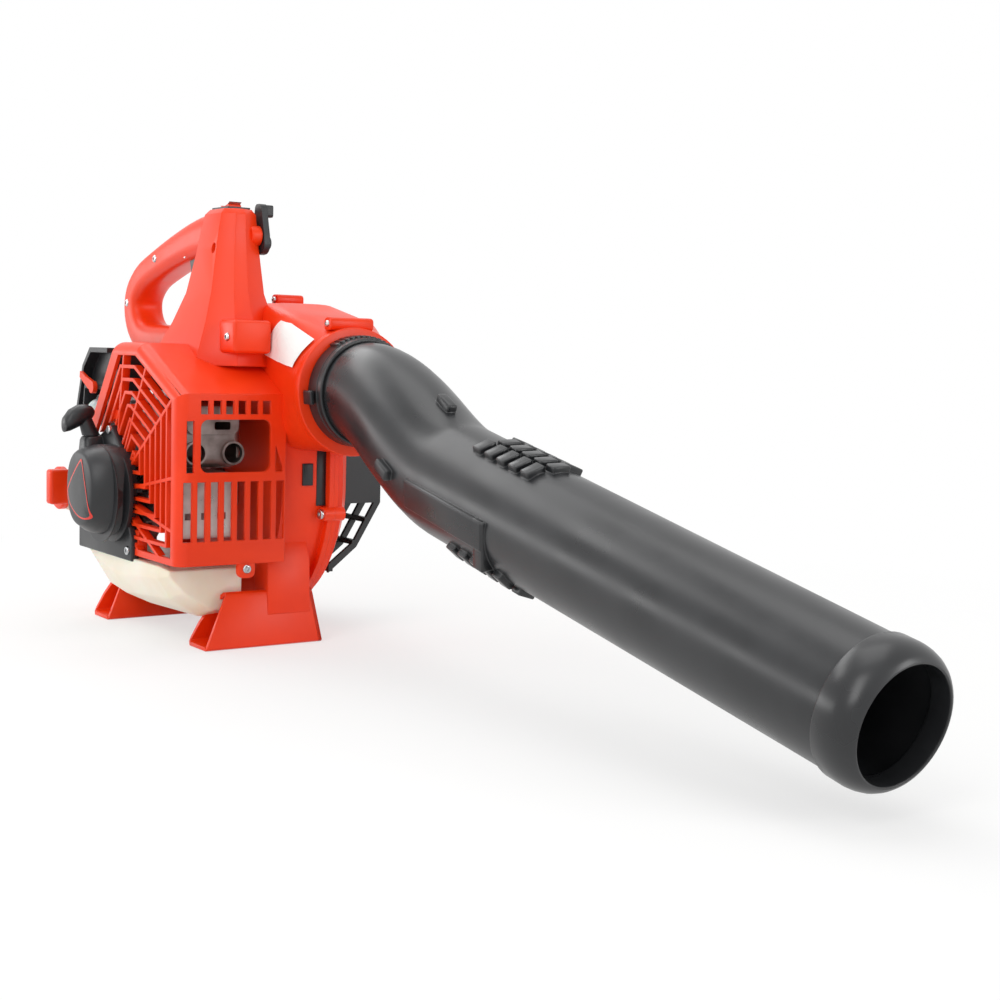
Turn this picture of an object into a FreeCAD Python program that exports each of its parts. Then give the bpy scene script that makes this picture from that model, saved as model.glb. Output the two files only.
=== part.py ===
import FreeCAD, Part
import math
import os
import re
import Sketcher
from FreeCAD import Placement, Rotation, Vector

# Handheld petrol leaf blower, 25 cc class, in millimetres.
# X runs along the crankshaft, Y from the nozzle back to the handle, Z up from the floor.

doc = FreeCAD.newDocument("leaf_blower")
sizes = doc.addObject("Spreadsheet::Sheet", "sizes")

DIMENSIONS = [
    # place of the working lines
    ("origin_x", 66.0, "shift that puts the part's middle on the origin"),
    ("origin_y", 178.0, "shift that puts the part's middle on the origin"),
    ("crank_y", 104.0, "crankshaft line"),
    ("crank_z", 110.0, "crankshaft line"),
    ("bore_x", -101.0, "cylinder line along the crankshaft"),
    ("tube_x", -20.0, "plane of the blow tube and of the housing joint"),
    ("outlet_y", -35.0, "face of the housing outlet"),
    ("outlet_z", 195.0, "middle of the housing outlet"),
    ("seat", 0.3, "clearance between pieces that seat on each other"),
    # fan housing
    ("case_back", -62.0, "engine side of the fan housing"),
    ("case_depth", 66.0, "depth of the fan housing along the crankshaft"),
    ("case_wall", 3.0, "wall of the fan housing"),
    ("scroll_y", 96.0, "middle of the first scroll arc"),
    ("scroll_z", 118.0, "middle of the first scroll arc"),
    ("scroll_radius", 100.0, "first scroll arc"),
    ("scroll_step", 7.0, "growth of each quarter of the scroll"),
    ("dish_depth", 13.0, "depth of the dished intake side"),
    ("dish_inset", 18.0, "inset of the dished intake side"),
    ("rim_height", 6.0, "flange at the housing joint"),
    ("rim_thickness", 4.0, "flange at the housing joint"),
    ("outlet_radius", 42.0, "outside of the outlet spigot"),
    ("intake_radius", 56.0, "intake hole"),
    # engine cover
    ("cover_left", -150.0, "outer side of the engine cover"),
    ("cover_front", -10.0, "front of the engine cover"),
    ("cover_bottom", 65.0, "lower edge of the engine cover"),
    ("cover_shoulder", 192.0, "top of the front face"),
    ("cover_top", 228.0, "top of the engine cover"),
    ("cover_wall", 3.0, "wall of the engine cover"),
    ("cover_round", 9.0, "rounded corner between front and side"),
    ("grille_pitch", 10.0, "step of the grille ribs"),
    ("grille_rib", 2.6, "width of a grille rib"),
    ("grille_depth", 6.0, "depth of a grille rib"),
    # handle
    ("handle_x", -72.0, "joint plane of the handle"),
    ("grip_width", 30.0, "width of the grip"),
    ("grip_round", 9.0, "rounding of the grip"),
    ("handle_wall", 5.0, "wall of the handle shells"),
    # tube
    ("tube_radius", 44.5, "straight tube behind the bend"),
    ("tube_end_radius", 38.0, "straight tube at the nozzle"),
    ("tube_wall", 2.5, "wall of the tube"),
    ("tube_slope", 12.4, "slope of the straight tube in degrees"),
    ("bend_length", 150.0, "length of the bend along Y"),
    ("bend_drop", 60.0, "drop of the bend"),
    ("tube_length", 396.0, "straight tube"),
    ("collar_radius", 46.0, "locking collar"),
    ("collar_width", 24.0, "locking collar"),
    ("ring_radius", 41.5, "bulge of the nozzle ring"),
    ("ring_width", 44.0, "nozzle ring"),
    ("mouth_radius", 33.0, "opening of the nozzle"),
    # feet and tank
    ("foot_length", 96.0, "front foot along the crankshaft"),
    ("foot_left", -121.0, "open end of the front foot"),
    ("foot_depth", 58.0, "foot front to back between sharp corners"),
    ("foot_height", 40.0, "apex of a foot"),
    ("foot_wall", 3.0, "wall of a foot"),
    ("foot_spacing", 140.0, "front foot to rear foot"),
    ("tank_left", -146.0, "outer side of the tank"),
    ("tank_width", 60.0, "tank along the crankshaft"),
    ("tank_front", 6.0, "front of the tank"),
    ("tank_depth", 192.0, "tank front to back"),
    ("tank_bottom", 20.0, "underside of the tank"),
    ("tank_height", 42.0, "tank"),
    ("tank_wall", 2.0, "wall of the tank"),
    ("cap_radius", 22.0, "fuel cap"),
    ("cap_width", 20.0, "fuel cap"),
    # recoil starter
    ("starter_face", -170.0, "outer face of the starter housing"),
    ("starter_radius", 46.0, "drum of the starter housing"),
    ("reel_radius", 32.0, "rope groove of the reel"),
    ("rope_radius", 1.75, "starter rope"),
    ("pull_length", 600.0, "travel of the starter grip"),
    # engine
    ("crankcase_radius", 27.0, "crankcase"),
    ("crankcase_width", 44.0, "crankcase along the crankshaft"),
    ("shaft_radius", 6.0, "crankshaft journals"),
    ("cylinder_radius", 20.0, "cylinder barrel"),
    ("fin_size", 66.0, "cooling fins across"),
    ("fin_pitch", 6.0, "step of the cooling fins"),
    ("flywheel_radius", 41.0, "flywheel"),
    ("impeller_radius", 82.0, "blower impeller"),
    ("impeller_width", 40.0, "blower impeller"),
]

for row, (alias, value, meaning) in enumerate(DIMENSIONS, start=1):
    sizes.set(f"A{row}", alias)
    sizes.set(f"B{row}", str(value))
    sizes.set(f"C{row}", meaning)
    sizes.setAlias(f"B{row}", alias)
doc.recompute()
ALIASES = {alias for alias, value, meaning in DIMENSIONS}


def size(alias):
    """Reads one driving dimension from the sheet."""
    return float(sizes.get(alias))


def bound(text):
    """Turns words such as crank_y + 3 into an expression on the sheet."""
    return re.sub(r"[a-z_]+", lambda m: "sizes." + m[0] if m[0] in ALIASES else m[0], str(text))


PIECES = []


def place(obj, x="0", y="0", z="0", axis=None, angle="0"):
    """Binds an object's place to the sheet, from the working lines."""
    if axis is not None:
        obj.Placement = Placement(Vector(0, 0, 0), Rotation(axis, 1))
        obj.setExpression("Placement.Rotation.Angle", bound(angle))
    obj.setExpression("Placement.Base.x", bound(f"origin_x + ({x})"))
    obj.setExpression("Placement.Base.y", bound(f"origin_y + ({y})"))
    obj.setExpression("Placement.Base.z", bound(z))


def new_body(label, x="0", y="0", z="0", axis=None, angle="0"):
    """Starts one sub-part as a body of its own."""
    body = doc.addObject("PartDesign::Body", label)
    body.Label = label
    place(body, x, y, z, axis, angle)
    PIECES.append(body)
    return body


def feature(label, shape):
    """Keeps a shape made with Part's own functions as one sub-part."""
    piece = doc.addObject("Part::Feature", label)
    piece.Label = label
    piece.Shape = shape
    piece.Placement = Placement(Vector(size("origin_x"), size("origin_y"), 0), Rotation())
    PIECES.append(piece)
    return piece


def new_sketch(body, role, offset="0"):
    """Adds a sketch on one of the body's origin planes."""
    sketch = body.newObject("Sketcher::SketchObject", body.Name + "_sketch")
    plane = next(item for item in body.Origin.OriginFeatures if item.Role == role)
    sketch.AttachmentSupport = [(plane, "")]
    sketch.MapMode = "FlatFace"
    sketch.setExpression("AttachmentOffset.Base.z", bound(offset))
    return sketch


def add_outline(sketch, corners):
    """Draws a closed outline whose corners are bound to the sheet."""
    first = sketch.GeometryCount
    count = len(corners)
    guess = [(10 * math.cos(6.28 * k / count), 10 * math.sin(6.28 * k / count)) for k in range(count)]
    for k in range(count):
        start = Vector(guess[k][0], guess[k][1], 0)
        end = Vector(guess[(k + 1) % count][0], guess[(k + 1) % count][1], 0)
        sketch.addGeometry(Part.LineSegment(start, end))
    for k in range(count):
        sketch.addConstraint(Sketcher.Constraint("Coincident", first + k, 2, first + (k + 1) % count, 1))
    for k, (across, up) in enumerate(corners):
        for kind, text in (("DistanceX", across), ("DistanceY", up)):
            index = sketch.addConstraint(Sketcher.Constraint(kind, first + k, 1, guess[k][kind == "DistanceY"]))
            sketch.setExpression(f"Constraints[{index}]", bound(text))
    return sketch


def add_circle(sketch, radius, across="0", up="0"):
    """Draws a circle whose centre and radius are bound to the sheet."""
    number = sketch.addGeometry(Part.Circle(Vector(1, 1, 0), Vector(0, 0, 1), 2))
    for kind, text in (("DistanceX", across), ("DistanceY", up)):
        index = sketch.addConstraint(Sketcher.Constraint(kind, number, 3, 1))
        sketch.setExpression(f"Constraints[{index}]", bound(text))
    index = sketch.addConstraint(Sketcher.Constraint("Radius", number, 2))
    sketch.setExpression(f"Constraints[{index}]", bound(radius))
    return sketch


def pad(body, sketch, length, backwards=False):
    """Pads a sketch by a bound length."""
    step = body.newObject("PartDesign::Pad", body.Name + "_pad")
    step.Profile = sketch
    step.setExpression("Length", bound(length))
    step.Reversed = backwards
    return step


def pocket(body, sketch, length, backwards=False):
    """Cuts a sketch out of the body by a bound length."""
    step = body.newObject("PartDesign::Pocket", body.Name + "_pocket")
    step.Profile = sketch
    step.setExpression("Length", bound(length))
    step.Reversed = backwards
    return step


def revolve(body, corners, role="XY_Plane", axis="X_Axis"):
    """Revolves an outline of length and radius about one of the body's axes."""
    sketch = add_outline(new_sketch(body, role), corners)
    step = body.newObject("PartDesign::Revolution", body.Name + "_turned")
    step.Profile = sketch
    line = next(item for item in body.Origin.OriginFeatures if item.Role == axis)
    step.ReferenceAxis = (line, [""])
    step.Angle = 360.0
    return step


def along_x(points, start, end):
    """A prism along X of an outline of (y, z) points."""
    wire = Part.makePolygon([Vector(start, y, z) for y, z in points + points[:1]])
    return Part.Face(wire).extrude(Vector(end - start, 0, 0))


def along_y(points, start, end):
    """A prism along Y of an outline of (x, z) points."""
    wire = Part.makePolygon([Vector(x, start, z) for x, z in points + points[:1]])
    return Part.Face(wire).extrude(Vector(0, end - start, 0))


def block(x, y, z):
    """A box between pairs of coordinates."""
    corner = Vector(x[0], y[0], z[0])
    return Part.makeBox(x[1] - x[0], y[1] - y[0], z[1] - z[0], corner)


def rod(start, end, radius):
    """A cylinder from one point to another."""
    start = Vector(*start)
    line = Vector(*end) - start
    return Part.makeCylinder(radius, line.Length, start, line)


def rounded(shape, radius, pick):
    """Rounds the edges that the given test picks."""
    edges = [edge for edge in shape.Edges if pick(edge)]
    return shape.makeFillet(radius, edges)


def runs_along(axis):
    """A test for straight edges along one axis."""
    def test(edge):
        if edge.Curve.TypeId != "Part::GeomLine":
            return False
        return abs(abs(edge.Curve.Direction.dot(axis)) - 1) < 1e-6
    return test


AXIS_X, AXIS_Y, AXIS_Z = Vector(1, 0, 0), Vector(0, 1, 0), Vector(0, 0, 1)


# Fan housing

def scroll_wire(x, inset):
    """The scroll of three growing quarter arcs, closed by the straight front wall."""
    middle_y, middle_z = size("scroll_y"), size("scroll_z")
    radius, step = size("scroll_radius"), size("scroll_step")
    def arc(y, z, r, first):
        corner = math.sqrt(0.5) * r
        signs = {"front": (-1, -1), "bottom": (1, -1), "rear": (1, 1)}[first]
        ends = {"front": ((-r, 0), (0, -r)), "bottom": ((0, -r), (r, 0)), "rear": ((r, 0), (0, r))}[first]
        start, end = [Vector(x, y + dy, z + dz) for dy, dz in ends]
        return Part.Arc(start, Vector(x, y + signs[0] * corner, z + signs[1] * corner), end).toShape()
    arcs = [
        arc(middle_y, middle_z, radius - inset, "front"),
        arc(middle_y, middle_z + step, radius + step - inset, "bottom"),
        arc(middle_y - step, middle_z + step, radius + 2 * step - inset, "rear"),
    ]
    top = Vector(x, middle_y - step, middle_z + radius + 3 * step - inset)
    corner = Vector(x, middle_y - radius + inset, top.z)
    front = Vector(x, middle_y - radius + inset, middle_z)
    arcs.append(Part.LineSegment(top, corner).toShape())
    arcs.append(Part.LineSegment(corner, front).toShape())
    return Part.Wire(arcs)


def rounded_loop(x, z, y, corner):
    """A rounded rectangle in a plane across Y, as one loop of eight edges."""
    edges = []
    centres = [(x[1] - corner, z[1] - corner, 0), (x[0] + corner, z[1] - corner, 90),
               (x[0] + corner, z[0] + corner, 180), (x[1] - corner, z[0] + corner, 270)]
    spots = []
    for cx, cz, turn in centres:
        for add in (0, 45, 90):
            angle = math.radians(turn + add)
            spots.append(Vector(cx + corner * math.cos(angle), y, cz + corner * math.sin(angle)))
    for k in range(4):
        a, b, c = spots[3 * k:3 * k + 3]
        edges.append(Part.Arc(a, b, c).toShape())
        edges.append(Part.LineSegment(c, spots[(3 * k + 3) % 12]).toShape())
    return Part.Wire(edges)


def split_circle(x, z, y, radius):
    """A circle across Y as eight edges, to match a rounded rectangle in a loft."""
    edges = []
    for k in range(4):
        turn = 90 * k
        spots = []
        for add in (12, 45, 78, 90, 102):
            angle = math.radians(turn + add)
            spots.append(Vector(x + radius * math.cos(angle), y, z + radius * math.sin(angle)))
        edges.append(Part.Arc(spots[0], spots[1], spots[2]).toShape())
        edges.append(Part.Arc(spots[2], spots[3], spots[4]).toShape())
    return Part.Wire(edges)


def outlet_duct(inset):
    """The duct from the scroll to the round outlet."""
    left = size("case_back") + inset
    right = size("tube_x") + size("outlet_radius") - inset
    top = size("scroll_z") + size("scroll_radius") + 3 * size("scroll_step") - inset
    bottom = size("outlet_z") - size("outlet_radius") + inset
    start = size("scroll_y") - size("scroll_radius") + 40
    near = size("outlet_y") + size("collar_width") - 4
    radius = size("outlet_radius") - inset
    big = rounded_loop((left, right - 6), (bottom, top), start, 14 - inset)
    small = split_circle(size("tube_x"), size("outlet_z"), near, radius)
    duct = Part.makeLoft([big, small], True, True)
    back = Part.Face(big).extrude(Vector(0, 20, 0))
    reach = 2.0 if inset else 0.0
    spigot = rod((size("tube_x"), near, size("outlet_z")),
                 (size("tube_x"), size("outlet_y") - reach, size("outlet_z")), radius)
    return duct.fuse(back).fuse(spigot)


def housing_solid(inset):
    """The fan housing's outside, or its cavity for an inset of one wall."""
    back = size("case_back") + inset
    dish = size("case_back") + size("case_depth") - size("dish_depth")
    face = size("case_back") + size("case_depth") - inset
    drum = Part.Face(scroll_wire(back, inset)).extrude(Vector(dish - back, 0, 0))
    lid = Part.makeLoft([scroll_wire(dish, inset), scroll_wire(face, inset + size("dish_inset"))], True, True)
    return drum.fuse(lid).fuse(outlet_duct(inset))


def rim_spots():
    """The places of the screws round the joint flange."""
    y, z, radius, step = size("scroll_y"), size("scroll_z"), size("scroll_radius"), size("scroll_step")
    spots = [(y - 36, z + radius + 3 * step + 5.5), (y - radius - 5, z + radius + 3 * step + 5.5)]
    for centre_y, centre_z, arc, turn in ((y, z, radius, 190), (y, z, radius, 250), (y, z + step, radius + step, 278),
                                          (y, z + step, radius + step, 335),
                                          (y - step, z + step, radius + 2 * step, 20),
                                          (y - step, z + step, radius + 2 * step, 65)):
        angle = math.radians(turn)
        reach = arc + 5
        spots.append((centre_y + reach * math.cos(angle), centre_z + reach * math.sin(angle)))
    return spots


def fan_housing():
    """The two halves of the fan housing, with the joint flange and its screw bosses."""
    wall = size("case_wall")
    split = size("tube_x")
    crank = (size("crank_y"), size("crank_z"))
    solid = housing_solid(0)
    cavity = housing_solid(wall)
    rim = Part.Face(scroll_wire(split - size("rim_thickness"), -size("rim_height")))
    rim = rim.extrude(Vector(2 * size("rim_thickness"), 0, 0))
    crank_hole = rod((size("case_back") - 5, *crank), (split, *crank), 15)
    intake = rod((split, *crank), (size("case_back") + size("case_depth") + 5, *crank), size("intake_radius"))
    bosses, bores = [], []
    for y, z in rim_spots():
        bosses.append(rod((split - 9, y, z), (split + 9, y, z), 5.5))
        bores.append(rod((split - 10, y, z), (split + 8, y, z), 1.9))
    whole = solid.fuse([rim] + bosses).cut(cavity).cut(crank_hole).cut(intake)
    for bore in bores:
        whole = whole.cut(bore)
    for label, low, high in (("fan_case_engine_side", -400, split), ("fan_case_intake_side", split, 400)):
        half = whole.common(block((low, high), (-200, 400), (-50, 400)))
        feature(label, half.removeSplitter())


fan_housing()


# Engine cover

def cover_profile(inset=0.0):
    """The side view of the engine cover."""
    front, bottom = size("cover_front"), size("cover_bottom")
    shoulder, top = size("cover_shoulder"), size("cover_top")
    return [(front + inset, bottom + inset), (front + inset, shoulder - 0.3 * inset), (66 + 0.3 * inset, top - inset),
            (110 - 0.4 * inset, top - inset), (172 - inset, 146), (172 - inset, bottom + inset)]


STARTER_SPOTS = [(74.5, 68), (113, 159), (158, 134)]
STARTER_ROOM = [(68.5, 58), (68.5, 74), (77, 86), (77, 131), (113, 168), (200, 130), (200, 58)]


def engine_cover():
    """The cover over the engine: front window and slots, and the ribbed side grille."""
    left, right = size("cover_left"), size("case_back") - size("seat")
    wall = size("cover_wall")
    outside = along_x(cover_profile(), left, right)
    outside = rounded(outside, size("cover_round"), lambda e: abs(e.BoundBox.XMin - left) < 0.01
                      and abs(e.BoundBox.XMax - left) < 0.01 and e.BoundBox.ZMin > size("cover_bottom") - 1
                      and e.BoundBox.YMax < 111 and e.Length > 1)
    profile = cover_profile(wall)
    profile[0] = (profile[0][0], size("cover_bottom") - 5)
    profile[4:] = [(size("crank_y") + 100, 146), (size("crank_y") + 100, size("cover_bottom") - 5)]
    inside = along_x(profile, left + wall, right + 5)
    shell = outside.cut(inside)
    front = size("cover_front")
    openings = []
    for k in range(6):
        x = -132 + 10.0 * k
        openings.append(block((x, x + 6.6), (front - 5, front + 12), (177, 187)))
    window = block((-132, -75), (front - 5, front + 8), (134, 173))
    openings.append(rounded(window, 6, runs_along(AXIS_Y)))
    for k in range(8):
        x = -145 + 10.7 * k
        openings.append(block((x, x + 6.8), (front - 5, front + 8), (83, 127)))
    openings.append(block((-143, -137), (front - 5, front + 8), (134, 172)))
    openings.append(along_y([(-71, 134), (-65, 134), (-65, 138), (-71, 154)], front - 5, front + 8))
    for hole in openings:
        shell = shell.cut(hole)
    grille = [(2, 70), (2, 186), (70, 218), (104, 218), (160, 143), (112, 160), (78, 131), (78, 70)]
    window = along_x(grille, left - 5, left + size("grille_depth"))
    edge = [(2, 70), (2, 186), (70, 218), (104, 218), (160, 143), (160, 70)]
    ribs = []
    outline = Part.makePolygon([Vector(left, y, z) for y, z in edge + edge[:1]])
    for k in range(1, 8):
        outer = Part.Face(outline.makeOffset2D(-size("grille_pitch") * k + size("grille_rib"), 2, False, False))
        inner = Part.Face(outline.makeOffset2D(-size("grille_pitch") * k, 2, False, False))
        ribs.append(outer.cut(inner).extrude(Vector(size("grille_depth"), 0, 0)))
    centre = Vector(left, size("crank_y") + 8, size("crank_z"))
    for angle in (100, 122, 145, 170, 190, 205, 220):
        bar = block((0, size("grille_depth")), (0, 140), (-1.2, 1.2))
        bar.rotate(Vector(0, 0, 0), AXIS_X, angle)
        bar.translate(centre)
        ribs.append(bar)
    bars = ribs[0].fuse(ribs[1:]).common(window)
    shell = shell.cut(window).fuse(bars)
    shell = shell.cut(along_x(STARTER_ROOM, left - 5, left + 12))
    lugs = []
    for y, z in STARTER_SPOTS:
        lug = block((left + 2, left + 9), (y - 9, y + 6), (max(z - 6, size("cover_bottom")), z + 16))
        lugs.append(lug.cut(along_x(STARTER_ROOM, left, left + 3.8)))
    shell = shell.fuse(lugs)
    for y, z in STARTER_SPOTS:
        shell = shell.cut(rod((left - 2, y, z), (left + 8, y, z), 1.6))
    feature("engine_cover", shell.removeSplitter())


engine_cover()


# Carrying handle

def smooth_loop(x, spots):
    """A closed loop whose corners are rounded by tangent arcs: each spot is y, z and a radius."""
    count = len(spots)
    starts, ends, middles = [], [], []
    for k in range(count):
        here = Vector(x, spots[k][0], spots[k][1])
        before = Vector(x, spots[k - 1][0], spots[k - 1][1]) - here
        after = Vector(x, spots[(k + 1) % count][0], spots[(k + 1) % count][1]) - here
        before.normalize()
        after.normalize()
        half = before.getAngle(after) / 2
        radius = spots[k][2]
        reach = radius / math.tan(half)
        bisector = before + after
        bisector.normalize()
        centre = here + bisector * (radius / math.sin(half))
        starts.append(here + before * reach)
        ends.append(here + after * reach)
        middles.append(centre - bisector * radius)
    edges = []
    for k in range(count):
        edges.append(Part.Arc(starts[k], middles[k], ends[k]).toShape())
        edges.append(Part.LineSegment(ends[k], starts[(k + 1) % count]).toShape())
    return Part.Wire(edges)


HANDLE_OUTSIDE = [(38, 262, 20), (44, 333, 14), (140, 329, 90), (232, 308, 40), (262, 262, 24),
                  (212, 218, 12), (14, 218, 14)]
HANDLE_OPENING = [(103, 244, 13), (92, 294, 16), (150, 290, 60), (214, 275, 18), (226, 256, 12), (196, 244, 14)]


HANDLE_SPOTS = [(58, 304), (183, 299), (242, 262), (50, 235)]


def leg_solid(low_x, low_y, high_x, high_y, inset):
    """The flared front leg of the handle, from the housing up to the grip."""
    corners = []
    for across, back, z in ((low_x, low_y, 214), (high_x, high_y, 296 - 2 * inset)):
        x0, x1, y0, y1 = across[0] + inset, across[1] - inset, back[0] + inset, back[1] - inset
        loop = [Vector(x0, y0, z), Vector(x1, y0, z), Vector(x1, y1, z), Vector(x0, y1, z)]
        corners.append(Part.makePolygon(loop + loop[:1]))
    return Part.makeLoft(corners, True, True)


def carried_by(gap):
    """The outside of the housing and the cover with a gap added, for what stands on them."""
    cover = along_x([(y, z + gap) for y, z in cover_profile()], size("cover_left"), size("case_back") + 1)
    return housing_solid(-gap).fuse(cover)


def handle():
    """The two shells of the carrying handle: a D-shaped grip on a flared front leg."""
    middle = size("handle_x")
    left, right = middle - size("grip_width") / 2, middle + size("grip_width") / 2
    wall = size("handle_wall")
    outer, hole = smooth_loop(left, HANDLE_OUTSIDE), smooth_loop(left, HANDLE_OPENING)
    body = Part.Face(outer).cut(Part.Face(hole)).extrude(Vector(right - left, 0, 0))
    ends = [edge for edge in body.Edges if edge.BoundBox.XLength < 0.01]
    body = body.makeFillet(size("grip_round"), ends)
    room = Part.Face(outer.makeOffset2D(-wall)).cut(Part.Face(hole.makeOffset2D(wall)))
    room = room.extrude(Vector(right - left - 2 * wall, 0, 0))
    room.translate(Vector(wall, 0, 0))
    leg = leg_solid((-100, -30), (22, 128), (left + 2, right - 2), (42, 92), 0)
    leg_room = leg_solid((-100, -30), (22, 128), (left + 2, right - 2), (42, 92), wall)
    keep = Part.Face(hole).extrude(Vector(right - left, 0, 0))
    whole = body.fuse(leg.cut(keep)).cut(room).cut(leg_room).cut(carried_by(size("seat")))
    cable_hole = rod((size("bore_x") + 27, 186, 200), (size("bore_x") + 27, 186, 240), 2.6)
    boss_block = rounded(block((left - 3, middle - 6), (38, 62), (222, 248)), 4, runs_along(AXIS_X))
    whole = whole.fuse(boss_block).cut(carried_by(size("seat"))).cut(cable_hole)
    for y, z in HANDLE_SPOTS:
        whole = whole.fuse(rod((left + 1, y, z), (right - 1, y, z), 5))
        whole = whole.cut(rod((left - 4, y, z), (left + 3, y, z), 4.4)).cut(rod((left, y, z), (middle + 8, y, z), 1.8))
    pivot = rod((middle - 13.2, 127, 299), (middle + 13.2, 127, 299), 2)
    whole = whole.cut(pivot)
    trigger_slot = block((middle - 8.5, middle + 8.5), (96, 133), (276, 304))
    switch_slot = block((middle - 7.5, middle + 7.5), (57, 81), (318, 345))
    whole = whole.cut(trigger_slot).cut(switch_slot)
    for label, low_x, high_x in (("handle_left_shell", -300, middle), ("handle_right_shell", middle, 300)):
        half = whole.common(block((low_x, high_x), (-200, 400), (-50, 400)))
        half = max(half.Solids, key=lambda solid: solid.Volume)
        feature(label, half.removeSplitter())


handle()


# Blow tube, locking collar and nozzle ring

def tube_section(y, z, radius, tall, slope):
    """One closed section of the tube, tall times as high as it is wide, facing down the tube."""
    if tall > 1.001:
        curve = Part.Ellipse(Vector(0, 0, 0), radius * tall, radius)
    else:
        curve = Part.Circle(Vector(0, 0, 0), AXIS_Z, radius)
    ring = curve.toShape()
    turn = Rotation(AXIS_X, 90 + slope).multiply(Rotation(AXIS_Z, 90))
    ring.Placement = Placement(Vector(size("tube_x"), y, z), turn)
    return Part.Wire([ring])


def tube_solid(inset, extra):
    """The S-bend and the straight tapering tube, as a solid."""
    start_y = size("outlet_y") - size("seat") + extra
    slope = size("tube_slope")
    radius = size("tube_radius") - inset
    bend_y = start_y - size("bend_length")
    bend_z = size("outlet_z") - size("bend_drop")
    start = size("outlet_radius") - inset
    sections = [
        tube_section(start_y - 12, size("outlet_z"), start, 1, 0),
        tube_section((start_y + bend_y) / 2, (size("outlet_z") + bend_z) / 2 + 3, radius, 1.03, 31),
        tube_section(bend_y, bend_z, radius, 1, slope),
        tube_section(bend_y - 30 * math.cos(math.radians(slope)), bend_z - 30 * math.sin(math.radians(slope)),
                     radius - 0.5, 1, slope),
    ]
    bend = Part.makeLoft(sections, True, False)
    run = size("tube_length")
    end_y = bend_y - run * math.cos(math.radians(slope))
    end_z = bend_z - run * math.sin(math.radians(slope))
    straight = Part.makeLoft([sections[-1], tube_section(end_y, end_z, size("tube_end_radius") - inset, 1, slope)],
                             True, True)
    throat = rod((size("tube_x"), start_y, size("outlet_z")), (size("tube_x"), start_y - 12, size("outlet_z")), start)
    return bend.fuse([straight, throat])


def blow_tube():
    """The tube with its grip pads and catch lugs."""
    slope = math.radians(size("tube_slope"))
    outside = tube_solid(0, 0)
    down = Vector(0, -math.cos(slope), -math.sin(slope))
    bend = Vector(size("tube_x"), size("outlet_y") - size("bend_length"), size("outlet_z") - size("bend_drop"))
    extras = []
    for turn in (-58, 122):
        for k in range(5):
            rib = Part.makeBox(26, 5, 5, Vector(-13, 42 + 11 * k, size("tube_radius") - 3.0))
            rib = rib.fuse(Part.makeBox(14, 9, 4.2, Vector(-7, 39 + 11 * k, size("tube_radius") - 3.0)))
            rib.rotate(Vector(0, 0, 0), AXIS_Y, turn)
            rib.rotate(Vector(0, 0, 0), AXIS_X, 180)
            rib.rotate(Vector(0, 0, 0), AXIS_Z, 0)
            rib.rotate(Vector(0, 0, 0), AXIS_X, math.degrees(slope))
            rib.translate(bend)
            extras.append(rib)
    whole = outside.fuse(extras)
    return feature("blow_tube", whole.cut(tube_solid(size("tube_wall"), 0)).removeSplitter())


blow_tube()


def tube_end(shift="0"):
    """Expressions for the place of the tube's front end."""
    run = f"(tube_length + {shift})"
    return ("tube_x", f"outlet_y - seat - bend_length - {run} * cos(tube_slope * 1 deg)",
            f"outlet_z - bend_drop - {run} * sin(tube_slope * 1 deg)")


def nozzle_ring():
    """The bulged ring pressed on the tube's front end."""
    body = new_body("nozzle_ring", *tube_end("-16"), AXIS_X, "90 + tube_slope")
    bulge = [("tube_end_radius + 0.7", "0"), ("tube_end_radius + 2.4", "0"), ("ring_radius - 0.6", "8"),
             ("ring_radius", "15"), ("ring_radius - 0.4", "ring_width - 20"), ("ring_radius - 3", "ring_width - 9"),
             ("mouth_radius + 3", "ring_width - 1"), ("mouth_radius + 1", "ring_width"),
             ("mouth_radius", "ring_width - 1.5"), ("mouth_radius", "20"), ("tube_end_radius + 0.7", "17")]
    revolve(body, bulge, "XZ_Plane", "Z_Axis")


nozzle_ring()


def tube_collar():
    """The ribbed collar that locks the tube on the outlet."""
    body = new_body("tube_collar", "tube_x", "outlet_y + collar_width - 4", "outlet_z", AXIS_X, "90")
    ring = [("outlet_radius + seat", "0"), ("collar_radius", "0"), ("collar_radius + 1.5", "3"),
            ("collar_radius + 1.5", "collar_width - 4"), ("collar_radius", "collar_width"),
            ("outlet_radius + seat", "collar_width")]
    revolve(body, ring, "XZ_Plane", "Z_Axis")


tube_collar()


# Feet

def tank_body(inset):
    """The tank's main box, also used with a negative inset for what cradles it."""
    left, front, bottom = size("tank_left"), size("tank_front"), size("tank_bottom")
    width, depth, height = size("tank_width"), size("tank_depth"), size("tank_height")
    main = block((left + inset, left + width - inset), (front + inset, front + depth - inset),
                 (bottom + inset, bottom + height - inset))
    main = rounded(main, 15 - inset, runs_along(AXIS_Z))
    low = [edge for edge in main.Edges if abs(edge.BoundBox.ZMax - bottom - inset) < 0.01]
    return main.makeFillet(12 - inset, low)


def foot(label, front, left, length, riser):
    """A hollow beam of leaning teardrop section under the machine, open at its left end."""
    depth, height, wall = size("foot_depth"), size("foot_height"), size("foot_wall")
    outline = [(front, 0, 4), (front + depth, 0, 4), (front - 6, height, 5), (front - 14, height - 3, 5)]
    outer = smooth_loop(left, outline)
    beam = Part.Face(outer).extrude(Vector(length, 0, 0))
    room = Part.Face(outer.makeOffset2D(-wall)).extrude(Vector(length - 20, 0, 0))
    beam = beam.cut(room)
    for x in riser:
        points = [(front - 13, height - 6), (front - 8, height + 34), (front + 22, height + 34), (front + 22, height - 22)]
        rib = along_x(points, x, x + 4)
        beam = beam.fuse(rib)
    beam = beam.cut(housing_solid(-size("seat"))).cut(tank_body(-size("seat")))
    feature(label, max(beam.Solids, key=lambda solid: solid.Volume))


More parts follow.
